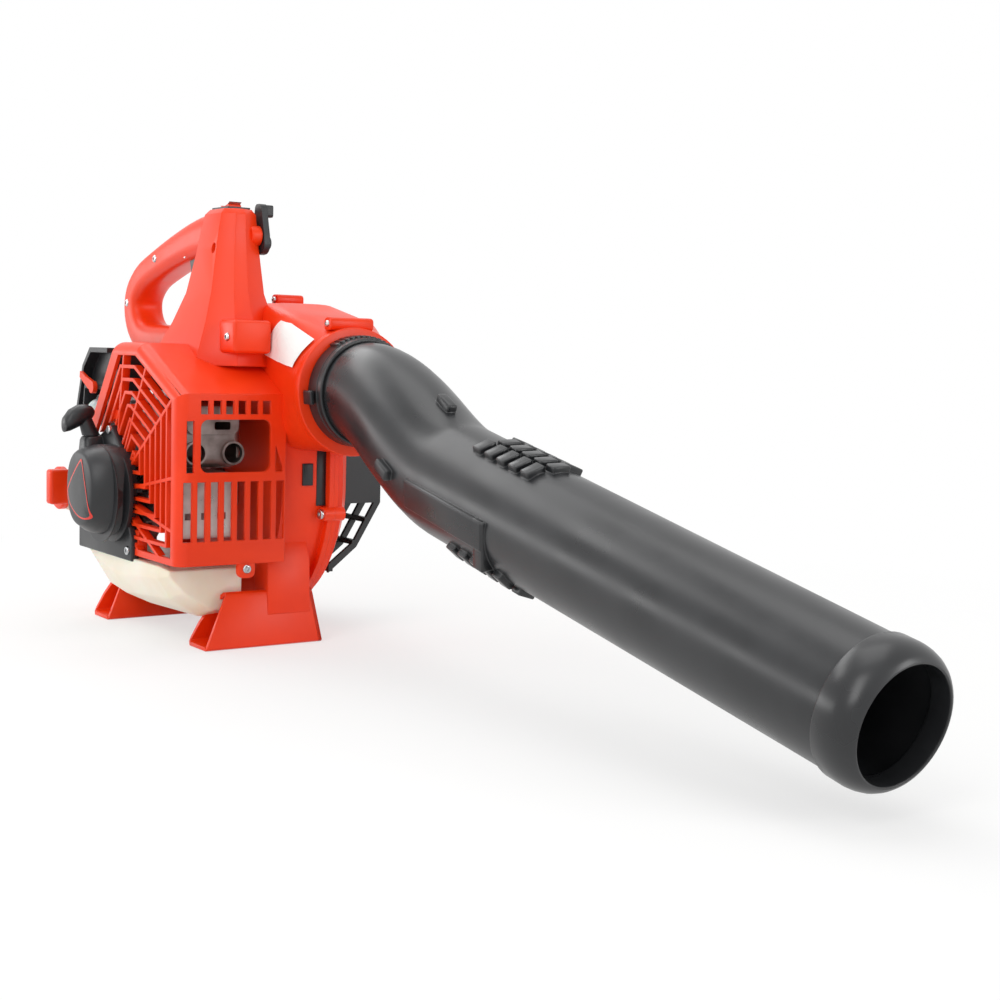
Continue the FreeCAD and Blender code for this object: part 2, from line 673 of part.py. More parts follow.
foot("front_foot", 2, size("foot_left"), size("foot_length"), (-58, -34))
foot("rear_foot", 142, size("foot_left") - 14, size("foot_length") + 10, (-58, -39))


# Fuel tank

def fuel_tank():
    """The moulded translucent tank under the engine, with its filler neck at the rear."""
    left, front, bottom = size("tank_left"), size("tank_front"), size("tank_bottom")
    width, depth, height = size("tank_width"), size("tank_depth"), size("tank_height")
    def body(inset):
        main = tank_body(inset)
        riser = block((left + 4 + inset, left + 40 - inset), (front + depth - 28 + inset, 238 - inset),
                      (bottom + 16 + inset, 122 - inset))
        riser = rounded(riser, 10 - inset, runs_along(AXIS_Z))
        return main.fuse(riser)
    middle = (222, 104)
    neck = rod((left + 8, *middle), (left - 5, *middle), 14)
    throat = rod((left + 12, *middle), (left - 6, *middle), 11.5)
    grommet_hole = rod((-95, 174, bottom + height - 8), (-95, 174, bottom + height + 1), 6.2)
    tank = body(0).fuse(neck).cut(body(size("tank_wall"))).cut(throat).cut(grommet_hole)
    feature("fuel_tank", tank.removeSplitter())


fuel_tank()


def fuel_cap():
    """The screwed fuel cap with its grip flats."""
    body = new_body("fuel_cap", "tank_left - 3 - cap_width", "222", "104", AXIS_Y, "90")
    turned = [("0", "0"), ("cap_radius - 5", "0"), ("cap_radius - 3", "2"), ("cap_radius", "cap_width - 4"),
              ("cap_radius", "cap_width"), ("14.4", "cap_width"), ("14.4", "4"), ("0", "4")]
    revolve(body, turned, "XZ_Plane", "Z_Axis")
    notch = add_outline(new_sketch(body, "XY_Plane"), [("cap_radius - 4", "-3"), ("cap_radius + 4", "-3"),
                                                       ("cap_radius + 4", "3"), ("cap_radius - 4", "3")])
    cut = pocket(body, notch, "cap_width - 6", True)
    doc.recompute()
    ring = body.newObject("PartDesign::PolarPattern", "cap_flats")
    ring.Originals = [cut]
    line = next(item for item in body.Origin.OriginFeatures if item.Role == "Z_Axis")
    ring.Axis = (line, [""])
    ring.Angle = 360.0
    ring.Occurrences = 8
    body.Tip = ring


fuel_cap()


# Intake guard

def intake_guard():
    """The black cage over the intake: a flange, ribs and long bars."""
    face = size("case_back") + size("case_depth") + size("seat")
    middle = (size("crank_y"), size("crank_z"))
    outer = [(face, 150), (44, 147), (52, 140), (52, 102), (30, 66), (face, 46)]
    inner = [(face - 1, 145), (42, 142), (47, 137), (47, 104), (27, 70), (face - 1, 52)]
    ribs = []
    for k in range(7):
        y = 40 + 21.4 * k
        ribs.append(along_y(outer, y, y + 3).cut(along_y(inner, y - 1, y + 4)))
    for x, z in ((46, 137), (47, 103), (37.5, 86), (26, 68), (face, 47)):
        ribs.append(block((x, x + 4), (40, 171.4), (z, z + 4)))
    hood = [(face, 150), (44, 147), (52, 140), (52, 102), (49, 102), (49, 139), (43, 144.5), (face, 147)]
    ribs.append(along_y(hood, 40, 171.4))
    plate = [(face, 150), (44, 147), (52, 140), (52, 102), (face, 102)]
    ribs.append(along_y(plate, 40, 43))
    ribs.append(along_y(plate, 168.4, 171.4))
    ribs.append(block((face, 48), (40, 171.4), (143, 147)))
    flange = rod((face, *middle), (face + 3, *middle), size("intake_radius") + 9)
    flange = flange.cut(rod((face - 1, *middle), (face + 4, *middle), size("intake_radius")))
    guard = flange.fuse(ribs)
    guard = guard.cut(rod((face - 1, *middle), (face + 2, *middle), size("intake_radius")))
    feature("intake_guard", guard.removeSplitter())


intake_guard()


# Recoil starter

ROPE_X = -160


def starter_housing():
    """The starter's drum on its side plate, with the rope guide and the reel's post."""
    face, crank = size("starter_face"), (size("crank_y"), size("crank_z"))
    radius, wall = size("starter_radius"), 2.5
    base = [(70, 60), (70, 73), (78.5, 86), (78.5, 130), (113, 164), (150, 144), (178, 128), (178, 60)]
    plate = along_x(base, size("cover_left") - 2, size("cover_left") + 3.5)
    drum = rod((face, *crank), (size("cover_left") - size("seat"), *crank), radius)
    drum = rounded(drum, 6, lambda e: abs(e.BoundBox.XMax - face) < 0.01)
    guide = block((-169, size("cover_left")), (128, 150), (126, 153))
    guide = rounded(guide, 5, runs_along(AXIS_Z))
    room = rod((face + wall, *crank), (size("cover_left") + 5, *crank), radius - wall)
    y = size("crank_y") + size("reel_radius") + size("rope_radius")
    bore = rod((ROPE_X, y, size("crank_z")), (ROPE_X, y, 160), 3)
    post = rod((face + 1, *crank), (size("cover_left") - 1, *crank), 5)
    housing = plate.fuse(drum).fuse(guide).cut(room).cut(bore).fuse(post)
    for spot_y, spot_z in STARTER_SPOTS:
        housing = housing.cut(rod((face, spot_y, spot_z), (face + 40, spot_y, spot_z), 1.7))
    feature("starter_housing", housing.removeSplitter())


starter_housing()


def starter_reel():
    """The grooved reel that winds the rope."""
    body = new_body("starter_reel", "starter_face + 5", "crank_y", "crank_z")
    groove = [("0", "5.3"), ("0", "reel_radius + 6"), ("1", "reel_radius + 6"), ("3", "reel_radius - 0.2"),
              ("7", "reel_radius - 0.2"), ("10", "reel_radius + 6"), ("13", "reel_radius + 6"), ("13", "12"), ("14", "12"), ("14", "5.3")]
    revolve(body, groove)


starter_reel()


def recoil_spring():
    """The flat spiral spring beside the reel, wound in half circles."""
    face, crank = size("starter_face"), (size("crank_y"), size("crank_z"))
    middle, step, strip = Vector(face + 19.4, *crank), 1.5, 0.7
    edges = []
    for side, grow in ((0.0, 1), (strip, -1)):
        radius, centre, turn = 10.0 + side, 0.0, 1
        start = Vector(0, radius, 0)
        run = []
        for k in range(14):
            end = Vector(0, start.y - 2 * turn * radius, 0)
            top = Vector(0, (start.y + end.y) / 2, turn * radius)
            run.append(Part.Arc(start + middle, top + middle, end + middle).toShape())
            start, radius, turn = end, radius + step / 2, -turn
        edges.append(run)
    first, second = edges
    a, b = first[0].Vertexes[0].Point, second[0].Vertexes[0].Point
    c, d = first[-1].Vertexes[1].Point, second[-1].Vertexes[1].Point
    ends = [Part.LineSegment(a, b).toShape(), Part.LineSegment(c, d).toShape()]
    loop = Part.Wire(Part.__sortEdges__(first + second + ends))
    feature("recoil_spring", Part.Face(loop).extrude(Vector(2.4, 0, 0)))


recoil_spring()


def starter_grip():
    """The T-shaped pull grip on the rope guide."""
    y = size("crank_y") + size("reel_radius") + size("rope_radius")
    stem = Part.makeCone(6.5, 5.5, 16, Vector(ROPE_X, y, 153.3), AXIS_Z)
    head = rod((-181, y, 170), (-152.5, y, 176), 8)
    head = rounded(head, 5, lambda e: e.Length > 40 and e.Curve.TypeId == "Part::GeomCircle")
    grip = stem.fuse(head).cut(rod((ROPE_X, y, 150), (ROPE_X, y, 172), size("rope_radius") + 0.3))
    feature("starter_grip", grip.removeSplitter())


starter_grip()


def starter_rope():
    """The straight stretch of rope from the reel up into the grip."""
    y = size("crank_y") + size("reel_radius") + size("rope_radius")
    feature("starter_rope", rod((ROPE_X, y, size("crank_z") + 12), (ROPE_X, y, 171), size("rope_radius")))


starter_rope()


# Engine

def crankcase():
    """The crankcase with the cylinder pad and the neck bolted to the fan housing."""
    x, y, z = size("bore_x"), size("crank_y"), size("crank_z")
    half = size("crankcase_width") / 2
    case = rod((x - half, y, z), (x + half, y, z), size("crankcase_radius"))
    pad_block = block((x - 20, x + 20), (y - 22, y + 22), (z, z + 27))
    neck = rod((x + half - 1, y, z), (size("case_back") - size("seat"), y, z), 19)
    ears = block((size("case_back") - 6, size("case_back") - size("seat")), (y - 34, y + 34), (z - 9, z + 9))
    bore = rod((x - 60, y, z), (0, y, z), size("shaft_radius") + size("seat"))
    left_seat = rod((x - half - 1, y, z), (x - half + 9, y, z), 13)
    right_seat = rod((size("case_back") - 9.3, y, z), (0, y, z), 13)
    shape = case.fuse([pad_block, neck, ears]).cut(bore).cut(left_seat).cut(right_seat)
    feature("crankcase", shape.removeSplitter())


crankcase()


def cylinder():
    """The finned cylinder with its exhaust and intake flanges."""
    x, y, foot = size("bore_x"), size("crank_y"), size("crank_z") + 27.3
    barrel = rod((x, y, foot), (x, y, 182), size("cylinder_radius"))
    flange = rounded(block((x - 22, x + 22), (y - 22, y + 22), (foot, foot + 5)), 6, runs_along(AXIS_Z))
    half = size("fin_size") / 2
    fins = []
    for k in range(7):
        z = foot + 9 + size("fin_pitch") * k
        fin = block((x - half, x + half), (y - half, y + half), (z, z + 1.8))
        fins.append(rounded(fin, 12, runs_along(AXIS_Z)))
    exhaust = block((x - 18, x + 18), (y - half - 10, y), (158, 178))
    intake = block((x - 16, x + 16), (y, y + half + 3), (156, 176))
    dome = Part.makeCone(size("cylinder_radius") + 4, 12, 8, Vector(x, y, 182), AXIS_Z)
    shape = barrel.fuse([flange, exhaust, intake, dome] + fins)
    plug_bore = rod((x, y, 184), (x, y, 191), 7)
    flywheel_room = rod((x - 50, y, size("crank_z")), (x - 22, y, size("crank_z")), size("flywheel_radius") + 2)
    shape = shape.cut(plug_bore).cut(flywheel_room)
    under_cover = along_x([(-50, 100), (-50, 260)] + [(70, 260), (98, 222), (165, 127), (300, 127), (300, 100)],
                          x - 60, x + 60)
    shape = shape.common(under_cover.fuse(intake)).removeSplitter()
    feature("cylinder", shape.removeSplitter())


cylinder()


def crankshaft():
    """The crankshaft from the starter side through to the impeller."""
    body = new_body("crankshaft", "-149", "crank_y", "crank_z")
    revolve(body, [("0", "0"), ("0", "4"), ("6", "4"), ("6", "shaft_radius"), ("115", "shaft_radius"),
                   ("115", "4.7"), ("128", "4.7"), ("128", "0")])


crankshaft()


def flywheel():
    """The flywheel with its cooling vanes on the starter side."""
    x, y, z = -141, size("crank_y"), size("crank_z")
    disc = rod((x + 6, y, z), (x + 14, y, z), size("flywheel_radius"))
    hub = rod((x, y, z), (x + 16, y, z), 14)
    vanes = []
    for k in range(12):
        vane = block((x, x + 7), (-1.2, 1.2), (15, size("flywheel_radius") - 1))
        vane.rotate(Vector(0, 0, 0), AXIS_X, 30.0 * k)
        vane.translate(Vector(0, y, z))
        vanes.append(vane)
    wheel = disc.fuse([hub] + vanes).cut(rod((x - 1, y, z), (x + 17, y, z), size("shaft_radius")))
    feature("flywheel", wheel.removeSplitter())


flywheel()


def starter_pawls():
    """Two starter dogs on the flywheel hub."""
    x, y, z = -141, size("crank_y"), size("crank_z")
    dogs = []
    for turn in (0, 180):
        dog = along_x([(8, -3), (13, -4), (17, 1), (12, 5), (8, 3)], x - 4.3, x - 0.3)
        dog.rotate(Vector(0, 0, 0), AXIS_X, turn)
        dog.translate(Vector(0, y, z))
        dogs.append(dog)
    feature("starter_pawls", Part.makeCompound(dogs))


starter_pawls()


def impeller():
    """The radial impeller: back plate, hub and curved blades."""
    y, z = size("crank_y"), size("crank_z")
    back = size("case_back") + size("case_wall") + 4
    radius, width = size("impeller_radius"), size("impeller_width")
    plate = rod((back, y, z), (back + 3, y, z), radius)
    hub = Part.makeCone(26, 13, 22, Vector(back, y, z), AXIS_X)
    blades = []
    for k in range(12):
        arc = Part.Arc(Vector(back + 2, 0, 24), Vector(back + 2, 10, 52), Vector(back + 2, 4, radius - 1)).toShape()
        arc_back = Part.Arc(Vector(back + 2, 2.4, 24), Vector(back + 2, 12.4, 52),
                            Vector(back + 2, 6.4, radius - 1)).toShape()
        caps = [Part.LineSegment(arc.Vertexes[0].Point, arc_back.Vertexes[0].Point).toShape(),
                Part.LineSegment(arc.Vertexes[1].Point, arc_back.Vertexes[1].Point).toShape()]
        blade = Part.Face(Part.Wire(Part.__sortEdges__([arc, arc_back] + caps))).extrude(Vector(width - 2, 0, 0))
        blade.rotate(Vector(0, 0, 0), AXIS_X, 30.0 * k)
        blade.translate(Vector(0, y, z))
        blades.append(blade)
    wheel = plate.fuse([hub] + blades)
    wheel = wheel.cut(rod((back - 1, y, z), (back + width, y, z), size("shaft_radius")))
    feature("impeller", wheel.removeSplitter())


impeller()


def fan_nut():
    """The nut that holds the impeller on the shaft."""
    y, z = size("crank_y"), size("crank_z")
    corners = [(y + 8 * math.cos(math.radians(60 * k)), z + 8 * math.sin(math.radians(60 * k))) for k in range(6)]
    nut = along_x(corners, -32.7, -26).cut(rod((-34, y, z), (-20, y, z), 4.7))
    feature("fan_nut", nut)


fan_nut()


def bearing_rings(label, spans, outer):
    """A pair of rings round the crankshaft."""
    y, z = size("crank_y"), size("crank_z")
    rings = []
    for low, high in spans:
        ring = rod((low, y, z), (high, y, z), outer)
        rings.append(ring.cut(rod((low - 1, y, z), (high + 1, y, z), size("shaft_radius"))))
    feature(label, Part.makeCompound(rings))


bearing_rings("crank_bearings", [(-120, -114.2), (-71, -65.2)], 12.9)
bearing_rings("oil_seals", [(-123, -120.3), (-64.9, -62.4)], 12.9)


def ignition_coil():
    """The ignition coil: a laminated core on its bracket and the moulded winding."""
    y, z = size("crank_y"), size("crank_z")
    rim = size("flywheel_radius") + 0.5
    core = block((-134, -126), (y + 34, y + 62), (z - 14, z + 22))
    core = core.cut(block((-135, -125), (y + 30, y + 52), (z - 6, z + 14)))
    core = core.cut(rod((-136, y, z), (-124, y, z), rim))
    winding = rounded(block((-138, -123.4), (y + 44, y + 60), (z - 4, z + 12)), 3, runs_along(AXIS_X))
    foot_plate = block((-126, -123.3), (y + 46, y + 58), (z - 14, z + 22))
    feature("ignition_coil", core.fuse([winding, foot_plate]).removeSplitter())


ignition_coil()


def spark_plug():
    """The spark plug: thread, hexagon, insulator and terminal."""
    x, y = size("bore_x"), size("crank_y")
    def hexagon(radius, low, high):
        ring = [Vector(x + radius * math.cos(math.radians(60 * k)), y + radius * math.sin(math.radians(60 * k)), low)
                for k in range(6)]
        return Part.Face(Part.makePolygon(ring + ring[:1])).extrude(Vector(0, 0, high - low))
    plug = rod((x, y, 184), (x, y, 190.5), 6.8)
    plug = plug.fuse([rod((x, y, 190.3), (x, y, 191.5), 9.5), hexagon(9.2, 191.5, 196),
                      rod((x, y, 196), (x, y, 203), 5), rod((x, y, 203), (x, y, 206), 3)])
    feature("spark_plug", plug.removeSplitter())


spark_plug()


def cord(label, points, radius, bend):
    """A cord of straight runs joined by tangent arcs through the given points."""
    spots = [Vector(*point) for point in points]
    edges, last = [], spots[0]
    for k in range(1, len(spots) - 1):
        before = (spots[k - 1] - spots[k]).normalize()
        after = (spots[k + 1] - spots[k]).normalize()
        half = before.getAngle(after) / 2
        reach = bend / math.tan(half)
        bisector = (before + after).normalize()
        start, end = spots[k] + before * reach, spots[k] + after * reach
        middle = spots[k] + bisector * (bend / math.sin(half) - bend)
        edges.append(Part.LineSegment(last, start).toShape())
        edges.append(Part.Arc(start, middle, end).toShape())
        last = end
    edges.append(Part.LineSegment(last, spots[-1]).toShape())
    path = Part.Wire(edges)
    profile = Part.Wire([Part.Circle(spots[0], spots[1] - spots[0], radius).toShape()])
    feature(label, path.makePipeShell([profile], True, False))


def plug_cap_and_lead():
    """The rubber cap on the plug and the lead down to the ignition coil."""
    x, y = size("bore_x"), size("crank_y")
    cap = rod((x, y, 196.3), (x, y, 212), 8)
    cap = rounded(cap, 3, lambda e: abs(e.BoundBox.ZMin - 212) < 0.01)
    sleeve = rod((x, y, 205), (x + 22, y, 205), 5)
    cap = cap.fuse(sleeve)
    cap = cap.cut(rod((x, y, 190), (x, y, 203.2), 5.2)).cut(rod((x, y, 203), (x, y, 206.2), 3.2))
    cap = cap.cut(rod((x + 12, y, 205), (x + 24, y, 205), 3.0))
    feature("spark_plug_cap", cap.removeSplitter())
    cord("ignition_lead", [(x + 13, y, 205), (x + 36, y, 205), (x + 36, y + 16, 190), (x + 36, y + 50, 150),
                           (x + 36, y + 50, 122), (-123, y + 50, 122)], 2.6, 7)


plug_cap_and_lead()


# Exhaust

def muffler():
    """The pressed muffler: two shells on a seam, a raised panel, two outlets and a small port."""
    left, right, low, high = -142, -88, 136, 186
    shell = rounded(block((left, right), (12, 58), (low, high)), 7, lambda e: True)
    seam = rounded(block((left - 1.6, right + 1.6), (33, 36), (low - 1.6, high + 1.6)), 7, runs_along(AXIS_Y))
    panel = rounded(block((left + 8, right - 4), (9.5, 14), (161, high - 4)), 6, runs_along(AXIS_Y))
    parts = [seam, panel]
    for x in (-127.5, -97):
        parts.append(rod((x, 13, 147), (x, 8, 147), 9))
    for x, z in ((-117, 166), (-117, 170)):
        parts.append(block((x - 5, x + 3), (13, 57), (z, z + 2)))
    parts.append(block((-119, -83), (50, 58), (158, 178)))
    box = shell.fuse(parts)
    room = rounded(block((left + 2, right - 2), (14, 56), (low + 2, high - 2)), 5, lambda e: True)
    box = box.cut(room)
    for x in (-127.5, -97):
        box = box.cut(rod((x, 16, 147), (x, 7, 147), 7.4))
    port = rounded(block((-112, -99), (8, 15), (164.5, 170.5)), 1.5, runs_along(AXIS_Y))
    box = box.cut(port)
    solids = sorted(box.Solids, key=lambda solid: -solid.Volume)
    feature("muffler", solids[0].removeSplitter())
    gasket = block((-119, -83), (58.2, 60.8), (158, 178)).cut(rod((-101, 57, 168), (-101, 62, 168), 8))
    feature("muffler_gasket", gasket)


muffler()


def heat_shield():
    """The sheet shield below the muffler, bent back over the crankcase."""
    front = [(3.5, 84), (3.5, 132.2), (81.7, 132.2), (81.7, 131.2), (4.5, 131.2), (4.5, 84)]
    shield = along_x(front, -143.6, -98)
    shield = shield.cut(block((-150, -121.6), (58, 90), (130, 134)))
    slots = [block((-138 + 13 * k, -131 + 13 * k), (2, 6), (98, 103)) for k in range(3)]
    feature("heat_shield", shield.cut(slots[0].fuse(slots[1:])))


heat_shield()


# Carburetor and air cleaner

def carburetor():
    """The insulator block, the carburetor body and its throttle side."""
    x = size("bore_x")
    spacer = block((x - 18, x + 18), (140.3, 152), (153, 179)).cut(rod((x, 139, 166), (x, 153, 166), 8))
    feature("insulator", spacer)
    body = rounded(block((x - 18, x + 18), (156, 192), (152, 180)), 3, runs_along(AXIS_Y))
    flange = rounded(block((x - 20, x + 20), (152.3, 156.3), (153, 179)), 4, runs_along(AXIS_Y))
    pump = rounded(block((x - 16, x + 16), (160, 190), (146, 152.5)), 4, runs_along(AXIS_Z))
    lid = rounded(block((x - 16, x + 16), (160, 190), (179.5, 184)), 4, runs_along(AXIS_Z))
    purge = rounded(block((x - 31, x - 17.5), (170, 194), (158, 184)), 4, runs_along(AXIS_X))
    bore = rod((x, 150, 166), (x, 200, 166), 8)
    horn = rod((x, 190, 166), (x, 199, 166), 13)
    bracket = block((x + 16, x + 32), (184, 188), (182, 186)).fuse(block((x + 16, x + 20), (184, 188), (176, 186)))
    bracket = bracket.cut(rod((x + 27, 180, 184), (x + 27, 192, 184), 0.6))
    well = rod((x - 32, 182, 171), (x - 24, 182, 171), 10.3)
    whole = body.fuse([flange, pump, lid, purge, horn, bracket]).cut(bore).cut(well)
    feature("carburetor", whole.removeSplitter())


carburetor()


def purge_bulb():
    """The clear primer bulb on the carburetor."""
    x = size("bore_x") - 31.3
    dome = Part.makeSphere(10, Vector(x - 2, 182, 171), Vector(-1, 0, 0), 0, 90, 360)
    inner = Part.makeSphere(8.6, Vector(x - 2, 182, 171), Vector(-1, 0, 0), 0, 90, 360)
    skirt = rod((x, 182, 171), (x - 2, 182, 171), 10).cut(rod((x + 1, 182, 171), (x - 3, 182, 171), 8.6))
    feature("purge_bulb", dome.cut(inner).fuse(skirt).removeSplitter())
    ring = rod((x, 182, 171), (x - 2.5, 182, 171), 12).cut(rod((x + 1, 182, 171), (x - 3, 182, 171), 10.3))
    feature("purge_ring", ring)


purge_bulb()


def throttle_lever():
    """The small lever on the carburetor's throttle shaft."""
    x = size("bore_x") + 18.3
    hub = rod((x, 174, 166), (x + 7, 174, 166), 4)
    arm = along_x([(171, 163), (188, 163.5), (190, 166), (188, 168.5), (171, 169)], x + 4, x + 6)
    feature("throttle_lever", hub.fuse(arm).removeSplitter())


throttle_lever()


def air_cleaner():
    """The framed air cleaner over the carburetor: base, filter pad and cover."""
    x = size("bore_x")
    outline = [(152, 189), (200, 189), (205, 160), (214, 160), (219, 174), (206, 208), (190, 223), (152, 223)]
    back, split, face = -90, -112, -140
    base = along_x(outline, split, back)
    hollow = [(155, 192), (197, 192), (203, 200), (188, 220), (155, 220)]
    base = base.cut(along_x(hollow, split - 1, back - 3))
    inlet = rod((x, 199.3, 166), (x, 208, 166), 10.5)
    base = base.fuse(inlet).cut(rod((x, 199, 166), (x, 206, 166), 8))
    feature("air_cleaner_base", base.removeSplitter())
    pad_shape = along_x([(155.3, 192.3), (196.9, 192.3), (202.6, 200), (187.9, 219.7), (155.3, 219.7)], split - 3, back - 5)
    feature("air_filter", pad_shape)
    cover = along_x(outline, face, split - 0.3)
    cover = cover.cut(along_x([(152, 192), (201, 192), (207, 164), (212, 164), (215, 174), (203, 206), (188, 219),
                               (152, 219)], face - 1, face + 9))
    cover = cover.cut(along_x(hollow, face + 12, split))
    feature("air_cleaner_cover", cover.removeSplitter())


air_cleaner()


def choke_lever():
    """The red choke lever on the air cleaner."""
    hub = rod((-140.3, 176, 190.5), (-144, 176, 190.5), 5)
    arm = along_x([(172, 187), (184, 189), (203, 198), (202, 203), (190, 199), (174, 195)], -143.6, -140.8)
    feature("choke_lever", hub.fuse(arm).removeSplitter())


# Fuel lines

def fuel_lines():
    """The grommet on the tank, the filter inside it and the two lines to the carburetor."""
    x, y = -95, 174
    grommet = rod((x, y, 57), (x, y, 62.2), 6).fuse(rod((x, y, 62.2), (x, y, 65), 8))
    for shift in (-3, 3):
        grommet = grommet.cut(rod((x, y + shift, 50), (x, y + shift, 70), 2.2))
    feature("tank_grommet", grommet.removeSplitter())
    cord("fuel_line", [(x, y - 20, 31), (x, y - 3, 31), (x, y - 3, 145.8)], 2, 6)
    cord("return_line", [(x, y + 3, 52), (x, y + 3, 124), (x, y + 11, 140), (x, y + 11, 145.8)], 2, 5)
    strainer = rounded(rod((x, y - 40, 31), (x, y - 20.3, 31), 6), 2, lambda e: True)
    feature("fuel_filter", strainer)


choke_lever()
fuel_lines()


# Controls in the handle

def trigger():
    """The throttle trigger on its pin."""
    middle = size("handle_x")
    outline = smooth_loop(middle - 8, [(131, 303, 3), (126, 290, 5), (123, 274, 8), (113, 259, 3), (106, 262, 4),
                                       (111, 276, 10), (103, 289, 6), (99, 302, 2)])
    blade = Part.Face(outline).extrude(Vector(16, 0, 0))
    ends = [edge for edge in blade.Edges if edge.BoundBox.XLength < 0.01]
    blade = blade.makeFillet(1.2, ends)
    blade = blade.cut(rod((middle - 12, 127, 299), (middle + 12, 127, 299), 2.2))
    feature("throttle_trigger", blade.removeSplitter())
    feature("trigger_pin", rod((middle - 13, 127, 299), (middle + 13, 127, 299), 2))


trigger()


def cruise_lever():
    """The throttle lock lever on the right of the handle."""
    face = size("handle_x") + size("grip_width") / 2 + size("seat")
    outline = smooth_loop(face, [(40, 300, 8), (58, 298, 8), (62, 312, 6), (58, 338, 4), (48, 338, 4), (42, 314, 10)])
    lever = Part.Face(outline).extrude(Vector(5, 0, 0))
    cap = rod((face + 5, 50, 308), (face + 8, 50, 308), 5)
    thumb = rounded(block((face, face + 11), (48.5, 57.5), (328, 337.5)), 2, runs_along(AXIS_X))
    feature("cruise_lever", lever.fuse([cap, thumb]).removeSplitter())


cruise_lever()


def throttle_cable():
    """The sleeved cable from the handle down to the carburetor's bracket."""
    x = size("bore_x") + 27
    cord("throttle_cable", [(x, 186, 186.2), (x, 186, 231.5), (x, 82, 231.5), (x, 82, 290)], 2.2, 9)


throttle_cable()


def stop_switch():
    """The rocker stop switch and its frame on top of the handle."""
    middle = size("handle_x")
    frame = block((middle - 7.2, middle + 7.2), (57.3, 80.7), (316, 333)).fuse(
        block((middle - 9.5, middle + 9.5), (55, 83), (332.9, 334.6)))
    frame = frame.cut(block((middle - 5.7, middle + 5.7), (59, 79), (318, 340)))
    frame = frame.fuse(rod((middle - 6, 69, 329), (middle + 6, 69, 329), 1.2))
    feature("switch_frame", frame.removeSplitter())
    rocker = smooth_loop(middle - 5.2, [(61.4, 332, 1.5), (62.4, 338.2, 1.5), (69, 334, 20), (76.8, 336.4, 1.5),
                                        (77.2, 331, 1.5), (69, 324, 5)])
    rocker = Part.Face(rocker).extrude(Vector(10.4, 0, 0))
    rocker = rocker.cut(rod((middle - 6, 69, 329), (middle + 6, 69, 329), 1.5))
    feature("stop_switch", rocker.removeSplitter())


stop_switch()


# Screws and small pieces

def screw(start, end, radius, head):
    """A pan-head screw from its head face to its tip."""
    start, end = Vector(*start), Vector(*end)
    line = (end - start).normalize()
    cap = Part.makeCylinder(head, 2.6, start - line * 2.6, line)
    top = [edge for edge in cap.Edges if (edge.CenterOfMass - start + line * 2.6).Length < 0.01]
    cap = cap.makeFillet(1.0, top[:1])
    cross = Part.makeCylinder(1.6, 1.4, start - line * 2.7, line)
    return cap.cut(cross).fuse(Part.makeCylinder(radius, (end - start).Length, start, line)).removeSplitter()


def screws():
    """The screws of the housing joint, the starter, the handle and the muffler."""
    split = size("tube_x")
    feature("case_screws", Part.makeCompound([screw((split - 9, y, z), (split + 8, y, z), 1.9, 4)
                                              for y, z in rim_spots()]))
    feature("starter_screws", Part.makeCompound([screw((-152.2, y, z), (-142, y, z), 1.5, 3.4)
                                                 for y, z in STARTER_SPOTS]))
    middle = size("handle_x")
    left = middle - size("grip_width") / 2
    feature("handle_screws", Part.makeCompound([screw((left + 2.9, y, z), (middle + 8, y, z), 1.7, 3.8)
                                                for y, z in HANDLE_SPOTS]))


screws()


# Checks and the files of the pieces

doc.recompute()
for item in doc.Objects:
    if "Invalid" in item.State or "Error" in item.State:
        raise RuntimeError(f"{item.Name} is {item.State}")
for piece in PIECES:
    if piece.Shape.isNull() or not piece.Shape.isValid():
        raise RuntimeError(f"{piece.Label} has no valid shape")
os.makedirs("parts", exist_ok=True)
for piece in PIECES:
    piece.Shape.exportStep(f"parts/{piece.Label}.step")
print(len(PIECES), "pieces")
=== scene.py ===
import math
import bmesh
import bpy
from mathutils import Matrix, Vector


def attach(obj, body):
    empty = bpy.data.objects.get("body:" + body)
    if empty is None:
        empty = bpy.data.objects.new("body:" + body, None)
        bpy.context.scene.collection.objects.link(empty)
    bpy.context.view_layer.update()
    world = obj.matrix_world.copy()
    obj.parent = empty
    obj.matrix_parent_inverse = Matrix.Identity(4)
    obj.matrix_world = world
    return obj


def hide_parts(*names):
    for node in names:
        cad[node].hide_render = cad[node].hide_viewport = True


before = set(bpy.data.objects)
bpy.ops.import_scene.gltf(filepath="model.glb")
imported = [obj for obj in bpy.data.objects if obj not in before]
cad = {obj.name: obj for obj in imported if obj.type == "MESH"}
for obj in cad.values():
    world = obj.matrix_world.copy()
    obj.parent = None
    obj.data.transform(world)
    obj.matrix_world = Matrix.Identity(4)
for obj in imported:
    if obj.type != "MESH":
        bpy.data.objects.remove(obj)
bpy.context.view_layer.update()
bpy.ops.object.select_all(action="DESELECT")

# Crankcase, cylinder and crankshaft
# The crankcase, cylinder and flywheel are die-cast aluminium, left as cast: dull grey and pebbled.
# The crankshaft is ground steel in two ball bearings with rubber lip seals.


def colour(code):
    """An sRGB hex value as a linear colour."""
    parts = [int(code[k:k + 2], 16) / 255 for k in (1, 3, 5)]
    return [c / 12.92 if c <= 0.04045 else ((c + 0.055) / 1.055) ** 2.4 for c in parts] + [1.0]


def add(tree, kind, inputs=(), **settings):
    """Adds a node to a material, with its settings and what feeds it."""
    item = tree.nodes.new(kind)
    for name, value in settings.items():
        setattr(item, name, value)
    for socket, value in dict(inputs).items():
        if isinstance(value, bpy.types.NodeSocket):
            tree.links.new(value, item.inputs[socket])
        else:
            item.inputs[socket].default_value = value
    return item


def new_material(name):
    """An empty material with its place on the object, ready for a surface."""
    material = bpy.data.materials.new(name)
    material.use_nodes = True
    tree = material.node_tree
    tree.nodes.clear()
    place = add(tree, "ShaderNodeTexCoord").outputs["Object"]
    return material, tree, place


